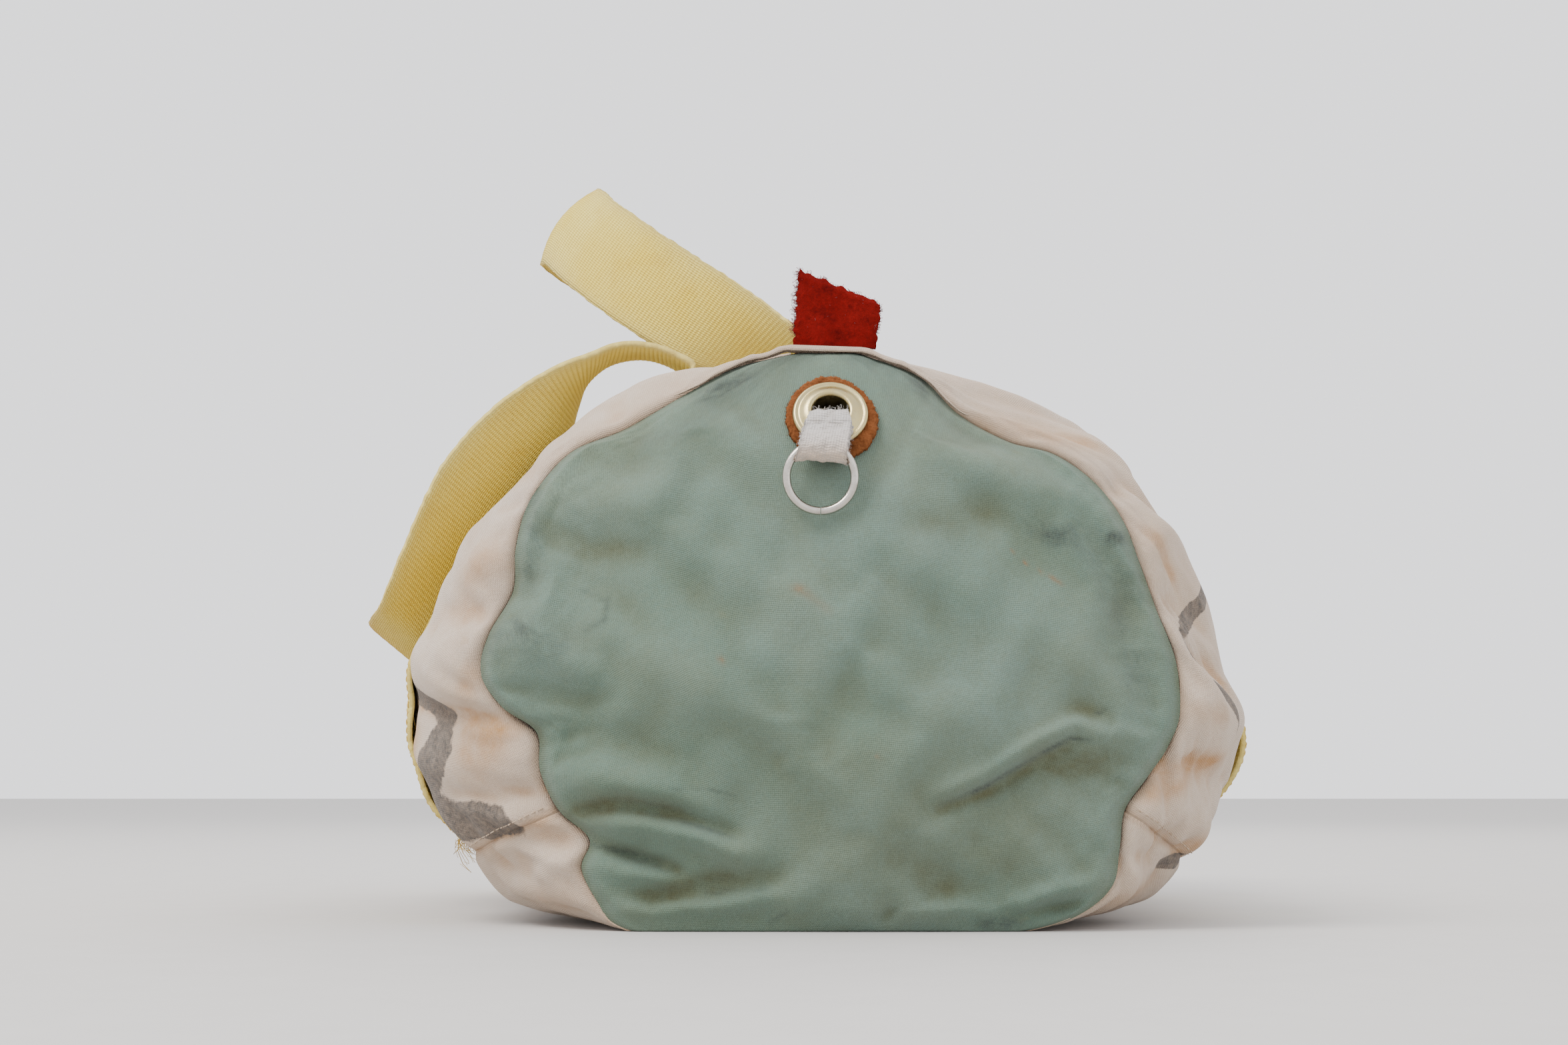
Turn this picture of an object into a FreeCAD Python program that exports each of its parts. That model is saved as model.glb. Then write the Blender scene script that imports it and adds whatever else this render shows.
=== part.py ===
import FreeCAD, Part
import math
import os
from FreeCAD import Vector

# A small canvas sports bag, lying on its flat bottom. Units are mm.
# +Z is up, the zip runs along Y, and the end with the grommet and the ring faces -Y.
# The origin is on the standing surface, under the middle of the bag.

# driving dimensions
SEAM_Y = 206.0          # each end seam, from the middle of the bag
CLOTH = 1.6             # canvas panels, with their seam allowance
GAP = 0.4               # clearance between neighbouring soft pieces
BASE_HALF_WIDTH = 85.0  # flat part of the bottom panel
STRAIGHT_HALF = 115.0   # the body keeps one section up to here, then gathers towards the end seams
END_BULGE = 24.0        # how far an end panel swells out past its seam
END_LEAN = 10.0         # how far the top of an end seam leans inwards
HEIGHT = 238.0          # top of the canvas beside the zip
END_HEIGHT = 235.0      # top of the end seams

WEBBING_WIDTH = 46.0
WEBBING = 2.4           # thickness
LEFT_STRAP_Y = 126.0    # middle of the left handle's legs, outside the right ones
RIGHT_STRAP_Y = 80.0    # middle of the right handle's legs

ZIP_HALF_LENGTH = 165.0
TAPE_HALF_LENGTH = 176.0
TOOTH_PITCH = 3.0
TOOTH_LENGTH = 1.3
TAPE_Z = 233.6          # underside of the zip tapes
TAPE = 0.8
TAPE_INNER = 3.0
TAPE_OUTER = 20.0
TEETH_GAP = 0.8         # half the slot between the two rows
SLIDER_Y = 160.0        # the zip is closed with its slider at the rear end
SLIDER_LENGTH = 13.0
SLIDER_HALF_WIDTH = 5.2

GROMMET_X = 1.0
GROMMET_Z = 204.0
GROMMET_R = 15.2
GROMMET_HOLE_R = 7.4
BARREL_R = 8.6
LEATHER = 2.0
LEATHER_R = 18.0

RING_X = -3.2
RING_R = 13.45          # to the middle of the wire
RING_WIRE_R = 1.7
RING_SLIT = 0.3
EYE_R = 4.5             # inside of the cotton loop's eye
EYE_Y = -231.0
EYE_Z = 189.6
COTTON = 1.4
COTTON_WIDTH = 18.6
KNUCKLE_R = 1.6
LOOP_HINGE_OUT = 7.9    # from the panel's face to the loop's hinge
LOOP_HINGE_DOWN = 8.5   # from the grommet's centre down the panel to the loop's hinge

PULL_LENGTH = 21.0
STRAP_STEPS = 14
STRAP_END = 9.02        # how far up the outline a handle's sewn length goes
STRAP_LIFT = 1.2        # the sewn length rises to the handle's root

TAB_THICKNESS = 3.0
TAB_HINGE_Z = 241.2
TAB_FOOT_Z = 237.6      # underside of the tab's sewn foot
TAB_FOOT = 2.2
TAB_Y = 192.0

# Half outlines of the body, as (x, z) from the bottom panel's flat part up to the zip.
# Both lists walk past the same features: flat edge, bottom curve, lower seam (index 3), side, shoulder, zip.
MIDDLE = [(85, 0), (104, 1.2), (131, 10), (153, 28), (168, 50), (177, 84), (170, 118),
          (150, 162), (117, 203), (64, 231), (17, HEIGHT)]
END = [(85, 0), (93, 5), (103, 18), (109, 42), (122, 66), (138, 98), (130, 135),
       (117, 170), (90, 197), (48, 222), (15, END_HEIGHT)]
LOWER_SEAM = 3

os.makedirs("parts", exist_ok=True)


def save(name, shape):
    """Writes one sub-part."""
    shape.exportStep("parts/" + name + ".step")
    volume, solids = shape.Volume / 1000, len(shape.Solids)
    print(f"{name}: volume {volume:.2f} cm3, valid {shape.isValid()}, solids {solids}")


def box(x, y, z):
    """An upright box between (low, high) pairs."""
    return Part.makeBox(x[1] - x[0], y[1] - y[0], z[1] - z[0], Vector(x[0], y[0], z[0]))


def mirror_x(shape):
    return shape.mirror(Vector(0, 0, 0), Vector(1, 0, 0))


def mirror_y(shape):
    return shape.mirror(Vector(0, 0, 0), Vector(0, 1, 0))


def surface_through(grid):
    """A smooth surface through rows of points."""
    surface = Part.BSplineSurface()
    surface.interpolate(grid)
    return surface


def thick_patch(outer, inner):
    """A closed solid between two surfaces through grids of matching points."""
    top = surface_through(outer)
    bottom = surface_through(inner)
    ends = [(s.uIso(s.bounds()[k]).toShape()) for s in (top, bottom) for k in (0, 1)]
    sides = [(s.vIso(s.bounds()[k]).toShape()) for s in (top, bottom) for k in (2, 3)]
    walls = [Part.makeRuledSurface(e[k], e[k + 2]) for e in (ends, sides) for k in (0, 1)]
    shell = Part.makeCompound([top.toShape(), bottom.toShape()] + walls)
    shell.sewShape(1e-3)
    solid = Part.makeSolid(shell.Shells[0])
    solid.fix(1e-3, 1e-3, 1e-3)
    if solid.Volume < 0:
        solid.reverse()
    return solid


def ribbon(rows, thickness):
    """Webbing whose middle layer goes through rows of points, each row from one edge to the other."""
    outer, inner = [], []
    for n, row in enumerate(rows):
        middle = len(row) // 2
        along = rows[min(n + 1, len(rows) - 1)][middle] - rows[max(n - 1, 0)][middle]
        face = along.cross(row[-1] - row[0]).normalize() * (thickness / 2)
        outer.append([p + face for p in row])
        inner.append([p - face for p in row])
    return thick_patch(outer, inner)


# ---- the body's surface

def seam_y(z):
    """The end seam's distance from the middle of the bag at height z: its top leans inwards."""
    return SEAM_Y - END_LEAN * max(0.0, (z - 120) / 110) ** 2


def gather(y):
    """0 in the straight middle of the body, rising to 1 at the end seams on a quarter circle."""
    over = max(0.0, abs(y) - STRAIGHT_HALF) / (SEAM_Y - STRAIGHT_HALF)
    return 1 - math.sqrt(max(0.0, 1 - over * over))


def body_point(index, along):
    """A point of the right half's outside: index counts along the outlines, along runs -1 to 1 in Y."""
    first = min(int(index), len(MIDDLE) - 2)
    rest = index - first
    middle, end = ([a + (b - a) * rest for a, b in zip(o[first], o[first + 1])] for o in (MIDDLE, END))
    g = gather(along * SEAM_Y)
    x, z = (m + (e - m) * g for m, e in zip(middle, end))
    return Vector(x, along * seam_y(end[1]), z)


def body_steps():
    """Values of along, closer together where the body gathers."""
    edge = [0.5, 0.62, 0.72, 0.81, 0.88, 0.94, 0.98, 1.0]
    return [-s for s in reversed(edge)] + [-0.25, 0.0, 0.25] + edge


def inward_points(grid, distance):
    """The same grid moved inwards, square to the surface in each cross section."""
    moved = []
    for row in grid:
        new = []
        for n, point in enumerate(row):
            step = row[min(n + 1, len(row) - 1)] - row[max(n - 1, 0)]
            new.append(point + Vector(-step.z, 0, step.x).normalize() * distance)
        moved.append(new)
    return moved


def body_grid(first, last):
    return [[body_point(n, s) for n in range(first, last + 1)] for s in body_steps()]


SIDE_GRID = body_grid(LOWER_SEAM, len(MIDDLE) - 1)
SIDE_SURFACE = surface_through(SIDE_GRID)


def on_side(point, distance):
    """The side panel's point nearest to point, moved outwards by distance."""
    u, v = SIDE_SURFACE.parameter(point)
    place, normal = SIDE_SURFACE.value(u, v), SIDE_SURFACE.normal(u, v)
    return place + normal * (distance if normal.x + normal.z > 0 else -distance)


def side_panel():
    """The right side panel, from the lower seam to the zip."""
    return thick_patch(SIDE_GRID, inward_points(SIDE_GRID, CLOTH))


def bottom_panel():
    """The bottom's flat middle."""
    return box((-BASE_HALF_WIDTH, BASE_HALF_WIDTH), (-SEAM_Y, SEAM_Y), (0, CLOTH))


def bottom_flank():
    """The bottom's right flank, which curves up from the flat middle to the lower seam."""
    grid = body_grid(0, LOWER_SEAM)
    for row in grid:
        row[0] += Vector(GAP / 2, 0, 0)
        row[-1] += (row[-2] - row[-1]).normalize() * (2 * GAP)
    inner = inward_points(grid, CLOTH)
    for row in inner:
        row[0] = Vector(BASE_HALF_WIDTH + GAP / 2, row[0].y, CLOTH)
    return thick_patch(grid, inner)


def end_point(across, index, depth):
    """A point of the front panel: across runs -1 to 1, index counts up the outline, depth goes in."""
    x, z = END[index]
    rise = abs(2 * z / END_HEIGHT - 1)
    swell = END_BULGE * (1 - abs(across) ** 2.2) * (1 - rise ** 2.5)
    return Vector(across * x, -seam_y(z) - GAP - CLOTH - swell + depth, z)


def end_grid(depth):
    columns = [-1, -0.85, -0.6, -0.3, 0, 0.3, 0.6, 0.85, 1]
    return [[end_point(c, n, depth) for c in columns] for n in range(len(END))]


END_SURFACE = surface_through(end_grid(0))


def grommet_frame():
    """The grommet's centre on the front panel, and the panel's outward direction there."""
    u, v = END_SURFACE.parameter(Vector(GROMMET_X, -SEAM_Y - 8, GROMMET_Z))
    normal = END_SURFACE.normal(u, v)
    return END_SURFACE.value(u, v), normal if normal.y < 0 else normal * -1


GROMMET_AT, GROMMET_OUT = grommet_frame()


def at_grommet(shape):
    """Puts a shape made about the origin, with +Z out of the bag, on the front panel."""
    placed = shape.copy()
    placed.Placement = FreeCAD.Placement(GROMMET_AT, FreeCAD.Rotation(Vector(0, 0, 1), GROMMET_OUT))
    return placed


def front_panel():
    panel = thick_patch(end_grid(0), end_grid(CLOTH))
    hole = Part.makeCylinder(BARREL_R + 0.3, 30, Vector(0, 0, -15))
    return panel.cut(at_grommet(hole))


def rear_panel():
    return mirror_y(thick_patch(end_grid(0), end_grid(CLOTH)))


# ---- grommet, leather washer, cotton loop and ring

def turned(profile):
    """A ring turned about Z from a closed outline of (radius, height) points."""
    points = [Vector(r, 0, h) for r, h in profile]
    return Part.Face(Part.makePolygon(points + points[:1])).revolve(Vector(0, 0, 0), Vector(0, 0, 1), 360)


def grommet_face():
    """Collar with a rolled lip, a step, a domed crown and a barrel that runs in through the panel."""
    rise = LEATHER + 0.3
    outline = [Vector(r, 0, rise + h) for r, h in
               ((GROMMET_R, 0), (GROMMET_R - 0.2, 1.0), (GROMMET_R - 1.0, 1.6), (GROMMET_R - 2.3, 1.4),
                (GROMMET_R - 3.2, 1.9), (GROMMET_HOLE_R + 2.6, 3.3), (GROMMET_HOLE_R + 1.0, 3.6),
                (GROMMET_HOLE_R, 2.6))]
    dome = Part.BSplineCurve()
    dome.interpolate(outline)
    low = -CLOTH - 2.4
    corners = [outline[-1], Vector(GROMMET_HOLE_R, 0, low), Vector(BARREL_R, 0, low),
               Vector(BARREL_R, 0, rise), outline[0]]
    edges = [Part.makeLine(a, b) for a, b in zip(corners, corners[1:])]
    face = Part.Face(Part.Wire([dome.toShape()] + edges))
    return at_grommet(face.revolve(Vector(0, 0, 0), Vector(0, 0, 1), 360))


def grommet_washer():
    """Flat ring behind the panel, held on the barrel."""
    inner, outer = BARREL_R + 0.02, 14
    high, low = -CLOTH - 0.8, -CLOTH - 1.6
    return at_grommet(turned([(inner, high), (outer, high), (outer, low), (inner, low)]))


def leather_washer():
    """Hand-cut leather disc, a little out of round and off centre."""
    rim = []
    for n in range(12):
        angle = math.tau * n / 12
        r = LEATHER_R + 0.7 * math.sin(2 * angle + 0.6) + 0.5 * math.sin(3 * angle + 2.1)
        rim.append(Vector(r * math.cos(angle) + 0.6, r * math.sin(angle) + 0.4, 0.25))
    curve = Part.BSplineCurve()
    curve.interpolate(rim, PeriodicFlag=True)
    disc = Part.Face(Part.Wire(curve.toShape())).extrude(Vector(0, 0, LEATHER))
    return at_grommet(disc.cut(Part.makeCylinder(BARREL_R + 0.3, 10, Vector(0, 0, -5))))


UP_PANEL = GROMMET_OUT.cross(Vector(1, 0, 0))
HINGE = GROMMET_AT + GROMMET_OUT * LOOP_HINGE_OUT - UP_PANEL * LOOP_HINGE_DOWN


def tangent_hull(a, a_radius, b, b_radius, width):
    """A prism along X round two circles in the YZ plane, a above b, joined by their outer tangents."""
    reach = b - a
    turn = math.acos((a_radius - b_radius) / reach.Length)
    base = math.atan2(reach.z, reach.y)
    corners = []
    for centre, radius, sides in ((a, a_radius, (1, -1)), (b, b_radius, (-1, 1))):
        for side in sides:
            angle = base + side * turn
            corners.append(centre + Vector(0, math.cos(angle), math.sin(angle)) * radius)
    middle = Part.Face(Part.makePolygon(corners + corners[:1])).extrude(Vector(width, 0, 0))
    discs = [Part.makeCylinder(r, width, c, Vector(1, 0, 0)) for c, r in ((a, a_radius), (b, b_radius))]
    return middle.fuse(discs).removeSplitter()


def ring_loop():
    """Cotton tape folded round the ring: a knuckle at the grommet's lip and an open eye."""
    left = RING_X - COTTON_WIDTH / 2
    knuckle = Vector(left, HINGE.y, HINGE.z)
    eye = Vector(left, EYE_Y, EYE_Z)
    neck = eye + (knuckle - eye) * 0.62
    outside = tangent_hull(knuckle, KNUCKLE_R, eye, EYE_R + COTTON, COTTON_WIDTH)
    return outside.cut(tangent_hull(neck, 0.4, eye, EYE_R, COTTON_WIDTH))


def loop_tail():
    """The two plies run in through the barrel and down the inside of the panel."""
    half = 5.4
    top = LOOP_HINGE_OUT + COTTON
    run_in = box((-half, half), (-4.9, -2.1), (-8.8, top))
    clear_of_knuckle = -LOOP_HINGE_DOWN + KNUCKLE_R + 0.5
    over_lip = box((-half, half), (clear_of_knuckle, -4.9), (top - 2 * COTTON, top))
    anchor = box((-COTTON_WIDTH / 2, COTTON_WIDTH / 2), (-32, -2.1), (-8.8, -8.8 + COTTON))
    return at_grommet(run_in.fuse([over_lip, anchor]).removeSplitter())


def steel_ring():
    """A bent wire ring, whose ends meet at the bottom in a butt joint that isn't welded."""
    ring = Part.makeTorus(RING_R, RING_WIRE_R, Vector(0, 0, 0), Vector(0, 1, 0))
    ring = ring.cut(box((-RING_SLIT / 2, RING_SLIT / 2), (-3, 3), (-RING_R - 3, -RING_R + 3)))
    drop = RING_R - math.sqrt(RING_R ** 2 - (COTTON_WIDTH / 2) ** 2)
    ring.translate(Vector(RING_X, EYE_Y, EYE_Z + drop / 2 - RING_R))
    return ring


# ---- zip

def zip_tape():
    """The right tape, whose inner edge carries the teeth."""
    return box((TAPE_INNER, TAPE_OUTER), (-TAPE_HALF_LENGTH, TAPE_HALF_LENGTH), (TAPE_Z, TAPE_Z + TAPE))


def zip_teeth(side):
    """One row of moulded teeth; the rows are half a pitch apart."""
    count = int(2 * ZIP_HALF_LENGTH / TOOTH_PITCH)
    start = -ZIP_HALF_LENGTH + (TOOTH_PITCH / 2 if side > 0 else 0)
    z = TAPE_Z + TAPE / 2
    teeth = []
    for n in range(count):
        y = start + n * TOOTH_PITCH
        teeth.append(box((TEETH_GAP, TAPE_INNER - 0.02), (y, y + TOOTH_LENGTH), (z - 1.5, z + 1.5)))
    row = Part.makeCompound(teeth)
    return row if side > 0 else mirror_x(row)


def zip_stops():
    """A clamped stop at each end of each row."""
    z = TAPE_Z + TAPE / 2
    stop = box((TEETH_GAP, TAPE_INNER - 0.02), (ZIP_HALF_LENGTH + 3, ZIP_HALF_LENGTH + 7), (z - 1.8, z + 1.8))
    pair = [stop, mirror_x(stop)]
    return Part.makeCompound(pair + [mirror_y(s) for s in pair])


SLIDER_TOP = TAPE_Z + TAPE / 2 + 3.3
BRIDGE_Z = SLIDER_TOP + 2.1


def zip_slider():
    """Two plates with flanges, the post between the rows, and the bridge that holds the pull."""
    middle = TAPE_Z + TAPE / 2
    wide = (-SLIDER_HALF_WIDTH, SLIDER_HALF_WIDTH)
    length = (SLIDER_Y - SLIDER_LENGTH / 2, SLIDER_Y + SLIDER_LENGTH / 2)
    parts = [box(wide, length, (middle + 2, SLIDER_TOP)), box(wide, length, (middle - 3.3, middle - 2))]
    for side in (-1, 1):
        x = sorted((side * (SLIDER_HALF_WIDTH - 1), side * SLIDER_HALF_WIDTH))
        parts.append(box(x, length, (middle + 0.8, middle + 2)))
        parts.append(box(x, length, (middle - 2, middle - 0.8)))
    parts.append(box((-0.55, 0.55), (SLIDER_Y - 6, SLIDER_Y - 1), (middle - 2, middle + 2)))
    bridge = box((-1.6, 1.6), (SLIDER_Y - 4.5, SLIDER_Y + 4.5), (SLIDER_TOP - 0.1, BRIDGE_Z + 2.6))
    window = box((-2, 2), (SLIDER_Y - 2.9, SLIDER_Y + 2.9), (SLIDER_TOP, BRIDGE_Z + 1.2))
    return parts[0].fuse(parts[1:] + [bridge.cut(window)]).removeSplitter()


def zip_pull():
    """A flat tag hung in the bridge on its own cross bar."""
    half = 3.6
    bar = Part.makeCylinder(1.0, 2 * half, Vector(-half, SLIDER_Y, BRIDGE_Z), Vector(1, 0, 0))
    tag = box((-half, half), (SLIDER_Y - PULL_LENGTH, SLIDER_Y + 0.7), (BRIDGE_Z - 0.7, BRIDGE_Z + 0.7))
    slot = box((-2.2, 2.2), (SLIDER_Y - 6.4, SLIDER_Y + 2), (BRIDGE_Z - 2, BRIDGE_Z + 2))
    return tag.cut(slot).fuse(bar).removeSplitter()


# ---- suede tabs at the zip's ends

def tab_base():
    """The front tab's sewn foot, over the end of the zip."""
    return box((-13, 19), (-TAB_Y - TAB_FOOT / 2, -TAPE_HALF_LENGTH + 3), (TAB_FOOT_Z, TAB_FOOT_Z + TAB_FOOT))


def front_tab():
    """The front tab's free part: it stands up, and is higher at one side."""
    outline = [(-13.3, TAB_HINGE_Z), (-10.4, 267), (21.6, 252), (19.2, TAB_HINGE_Z)]
    points = [Vector(x, -TAB_Y, z) for x, z in outline]
    return Part.Face(Part.makePolygon(points + points[:1])).extrude(Vector(0, TAB_THICKNESS - GAP, 0))


# ---- webbing

def sewn_strap(middle_y):
    """A front leg's sewn length on the right side, from the lower seam to where the handle leaves."""
    rows = []
    for n in range(STRAP_STEPS + 1):
        index = LOWER_SEAM + 0.25 + (STRAP_END - LOWER_SEAM - 0.25) * n / STRAP_STEPS
        lift = GAP + WEBBING / 2 + STRAP_LIFT * max(0.0, n + 2 - STRAP_STEPS) / 2
        places = [-middle_y + WEBBING_WIDTH * share for share in (-0.5, -0.25, 0, 0.25, 0.5)]
        rows.append([on_side(body_point(index, y / SEAM_Y), lift) for y in places])
    return ribbon(rows, WEBBING)


def handle(front, rear):
    """Webbing from the front root to the middle of the grip, and on to the rear root."""
    pairs = [(Vector(*a), Vector(*b)) for a, b in front + rear[::-1]]
    return ribbon([[a, (a + b) * 0.5, b] for a, b in pairs], WEBBING)


def mirrored(pairs):
    """The rear half of a handle that is the same as its front half."""
    return [tuple((x, -y, z) for x, y, z in pair) for pair in pairs[:-1]]


# Halves of the handles as they lie: (outer edge, inner edge), from the root to the middle.
LEFT_HANDLE = [((-57, -149, 236), (-57, -103, 236)), ((-67, -149, 243.5), (-68, -103, 245)),
               ((-80, -148, 247), (-83, -102, 249)), ((-91, -146, 246.5), (-97, -102, 246)),
               ((-101, -143, 243), (-106, -101, 239)), ((-115, -139, 238), (-111, -98, 229)),
               ((-135, -134, 229), (-115, -95, 212)), ((-153, -128, 214), (-130, -94, 194.5)),
               ((-167, -122, 198), (-143.2, -90, 177.8)), ((-182, -115, 167), (-161.2, -84, 146.6)),
               ((-195, -103, 139), (-176, -74, 117)), ((-204, -78, 133), (-180, -52, 110)),
               ((-211, -40, 132), (-182, -27, 107)), ((-215, 0, 132), (-182, 0, 107))]
RIGHT_HANDLE = [((57, -103, 236), (57, -57, 236)), ((40, -103, 242), (37, -57, 243)),
                ((20, -101, 248.5), (7, -58, 246)), ((-10, -94, 263), (-33, -60, 247)),
                ((-34, -86, 282), (-59, -64, 254)), ((-56, -74, 300), (-81, -62, 265)),
                ((-79, -58, 319), (-105, -52, 282)), ((-98, -36, 336), (-123, -34, 300)),
                ((-109, -12, 349), (-135, -11, 314)), ((-112, 12, 351), (-137, 12, 317))]
# The right handle's rear half, which leans less than its front half.
RIGHT_HANDLE_REAR = [((57, 103, 236), (57, 57, 236)), ((38, 103, 244), (35, 57, 244)),
                     ((13, 101, 258), (2, 58, 249)), ((-11, 95, 277), (-29, 58, 257)),
                     ((-29, 88, 296), (-52, 61, 268)), ((-48, 76, 313), (-75, 61, 279)),
                     ((-67, 64, 327), (-95, 58, 292)), ((-87, 52, 340), (-114, 51, 306)),
                     ((-103, 34, 348), (-130, 34, 315))]

side = side_panel()
save("right_side_panel", side)
save("left_side_panel", mirror_x(side))
save("bottom_panel", bottom_panel())
flank = bottom_flank()
save("right_bottom_flank", flank)
save("left_bottom_flank", mirror_x(flank))
save("front_end_panel", front_panel())
save("rear_end_panel", rear_panel())
save("grommet_face", grommet_face())
save("grommet_washer", grommet_washer())
save("leather_washer", leather_washer())
save("ring_loop", ring_loop())
save("loop_tail", loop_tail())
save("steel_ring", steel_ring())
save("right_zip_tape", zip_tape())
save("left_zip_tape", mirror_x(zip_tape()))
save("right_zip_teeth", zip_teeth(1))
save("left_zip_teeth", zip_teeth(-1))
save("zip_stops", zip_stops())
save("zip_slider", zip_slider())
save("zip_pull", zip_pull())
save("front_tab_base", tab_base())
save("rear_tab_base", mirror_y(tab_base()))
save("front_tab", front_tab())
save("rear_tab", mirror_y(front_tab()))
for name, middle_y in (("left", LEFT_STRAP_Y), ("right", RIGHT_STRAP_Y)):
    strap = sewn_strap(middle_y)
    strap = mirror_x(strap) if name == "left" else strap
    save(name + "_front_strap", strap)
    save(name + "_rear_strap", mirror_y(strap))
save("left_handle", handle(LEFT_HANDLE, mirrored(LEFT_HANDLE)))
save("right_handle", handle(RIGHT_HANDLE, RIGHT_HANDLE_REAR))
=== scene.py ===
import bpy
import math
import numpy as np
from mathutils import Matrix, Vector


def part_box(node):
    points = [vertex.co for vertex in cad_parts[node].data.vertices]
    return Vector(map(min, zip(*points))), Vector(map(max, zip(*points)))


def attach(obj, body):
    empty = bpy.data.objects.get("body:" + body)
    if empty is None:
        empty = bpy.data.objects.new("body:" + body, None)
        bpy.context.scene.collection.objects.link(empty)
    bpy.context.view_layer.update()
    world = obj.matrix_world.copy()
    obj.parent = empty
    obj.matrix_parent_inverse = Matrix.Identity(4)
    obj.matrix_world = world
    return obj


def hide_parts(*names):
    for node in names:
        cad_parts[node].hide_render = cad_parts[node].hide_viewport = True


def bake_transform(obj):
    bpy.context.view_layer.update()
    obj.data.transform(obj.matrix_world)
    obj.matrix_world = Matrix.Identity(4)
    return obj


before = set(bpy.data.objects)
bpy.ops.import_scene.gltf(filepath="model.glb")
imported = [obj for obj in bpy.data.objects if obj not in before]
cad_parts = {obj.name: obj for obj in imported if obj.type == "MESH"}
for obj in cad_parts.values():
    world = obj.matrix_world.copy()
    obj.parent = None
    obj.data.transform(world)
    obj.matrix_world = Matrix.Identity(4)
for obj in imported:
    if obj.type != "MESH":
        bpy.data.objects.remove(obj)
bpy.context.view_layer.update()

MM = 0.001
SIM_SCALE = 0.01        # the cloth simulation runs ten times larger than life
SIM_FRAMES = 20

# ---------------------------------------------------------------- shape of the bag, in mm, as in the CAD

SEAM_Y = 206.0
STRAIGHT_HALF = 115.0
END_LEAN = 10.0
END_BULGE = 24.0
END_HEIGHT = 235.0
CLOTH = 1.6
LOWER_SEAM = 3.0
SEAM_EASE = 0.9         # how much closer together a panel's columns are at its seams
ZIP_INDEX = 10          # the outline's index at the zip, on either side
WEBBING_HALF = 23
WEBBING_THICK = 2.4
RING_X = -3.2
GROMMET_X, GROMMET_Z = 1, 204
GROMMET_CENTRE = (1.0, -214.80, 204.38)
GROMMET_NORMAL = (0.0026, -0.9056, 0.4241)
GROMMET_BORE = 9.9
LOOP_HINGE = (1.02, -225.56, 200.03)
LOOP_EYE = (-231.0, 189.6)
TAB_FACE_Y = 193.4

# Halves of the handles as they lie: (outer edge, inner edge), from the root to the middle.
LEFT_HANDLE = [((-57, -149, 236), (-57, -103, 236)), ((-67, -149, 243.5), (-68, -103, 245)),
               ((-80, -148, 247), (-83, -102, 249)), ((-91, -146, 246.5), (-97, -102, 246)),
               ((-101, -143, 243), (-106, -101, 239)), ((-115, -139, 238), (-111, -98, 229)),
               ((-135, -134, 229), (-115, -95, 212)), ((-153, -128, 214), (-130, -94, 194.5)),
               ((-167, -122, 198), (-143.2, -90, 177.8)), ((-182, -115, 167), (-161.2, -84, 146.6)),
               ((-195, -103, 139), (-176, -74, 117)), ((-204, -78, 133), (-180, -52, 110)),
               ((-211, -40, 132), (-182, -27, 107)), ((-215, 0, 132), (-182, 0, 107))]
RIGHT_HANDLE = [((57, -103, 236), (57, -57, 236)), ((40, -103, 242), (37, -57, 243)),
                ((20, -101, 248.5), (7, -58, 246)), ((-10, -94, 263), (-33, -60, 247)),
                ((-34, -86, 282), (-59, -64, 254)), ((-56, -74, 300), (-81, -62, 265)),
                ((-79, -58, 319), (-105, -52, 282)), ((-98, -36, 336), (-123, -34, 300)),
                ((-109, -12, 349), (-135, -11, 314)), ((-112, 12, 351), (-137, 12, 317))]
# The right handle's rear half, which leans less than its front half.
RIGHT_HANDLE_REAR = [((57, 103, 236), (57, 57, 236)), ((38, 103, 244), (35, 57, 244)),
                     ((13, 101, 258), (2, 58, 249)), ((-11, 95, 277), (-29, 58, 257)),
                     ((-29, 88, 296), (-52, 61, 268)), ((-48, 76, 313), (-75, 61, 279)),
                     ((-67, 64, 327), (-95, 58, 292)), ((-87, 52, 340), (-114, 51, 306)),
                     ((-103, 34, 348), (-130, 34, 315))]

# Half outlines as (index, |x|, z): index 3 is the lower seam, 8 the shoulder and 10 the zip.
MIDDLE_LEFT = [
    (0, 0, 0), (1, 80, 0), (2, 128, 9), (3, 152, 27), (4, 167, 50), (5, 177, 86), (6, 170, 122),
    (7, 151, 162), (8, 118, 203), (9, 62, 232), (10, 17, 238)]
MIDDLE_RIGHT = [
    (0, 0, 0), (1, 80, 0), (2, 130, 9), (3, 151, 26), (4, 168, 50), (5, 176, 83), (6, 168, 118),
    (7, 147, 162), (8, 117, 204), (9, 64, 230), (10, 17, 238)]
FRONT_LEFT = [
    (0, 0, 0), (1, 80, 0), (1.6, 92, 12), (2, 98, 24), (2.5, 95, 36), (3, 107, 47), (3.6, 115, 63),
    (4.2, 117, 79), (4.7, 131, 89), (5.1, 139, 101), (5.6, 136, 118), (6, 127, 134), (6.5, 126, 152),
    (7, 122, 169), (7.5, 114, 182), (8, 103, 193), (8.6, 80, 203), (9, 57, 217), (9.5, 37, 228),
    (10, 14, 234)]
FRONT_RIGHT = [
    (0, 0, 0), (1, 80, 0), (1.6, 104, 9), (2, 113, 18), (2.5, 116, 33), (3, 118, 47), (3.6, 127, 60),
    (4.2, 136, 73), (4.7, 141, 87), (5.1, 140, 105), (5.7, 132, 128), (6.3, 126, 146), (6.8, 120, 163),
    (7.4, 108, 180), (7.9, 93, 191), (8.5, 73, 197), (9, 54, 208), (9.5, 38, 224), (10, 14, 234)]


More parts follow.
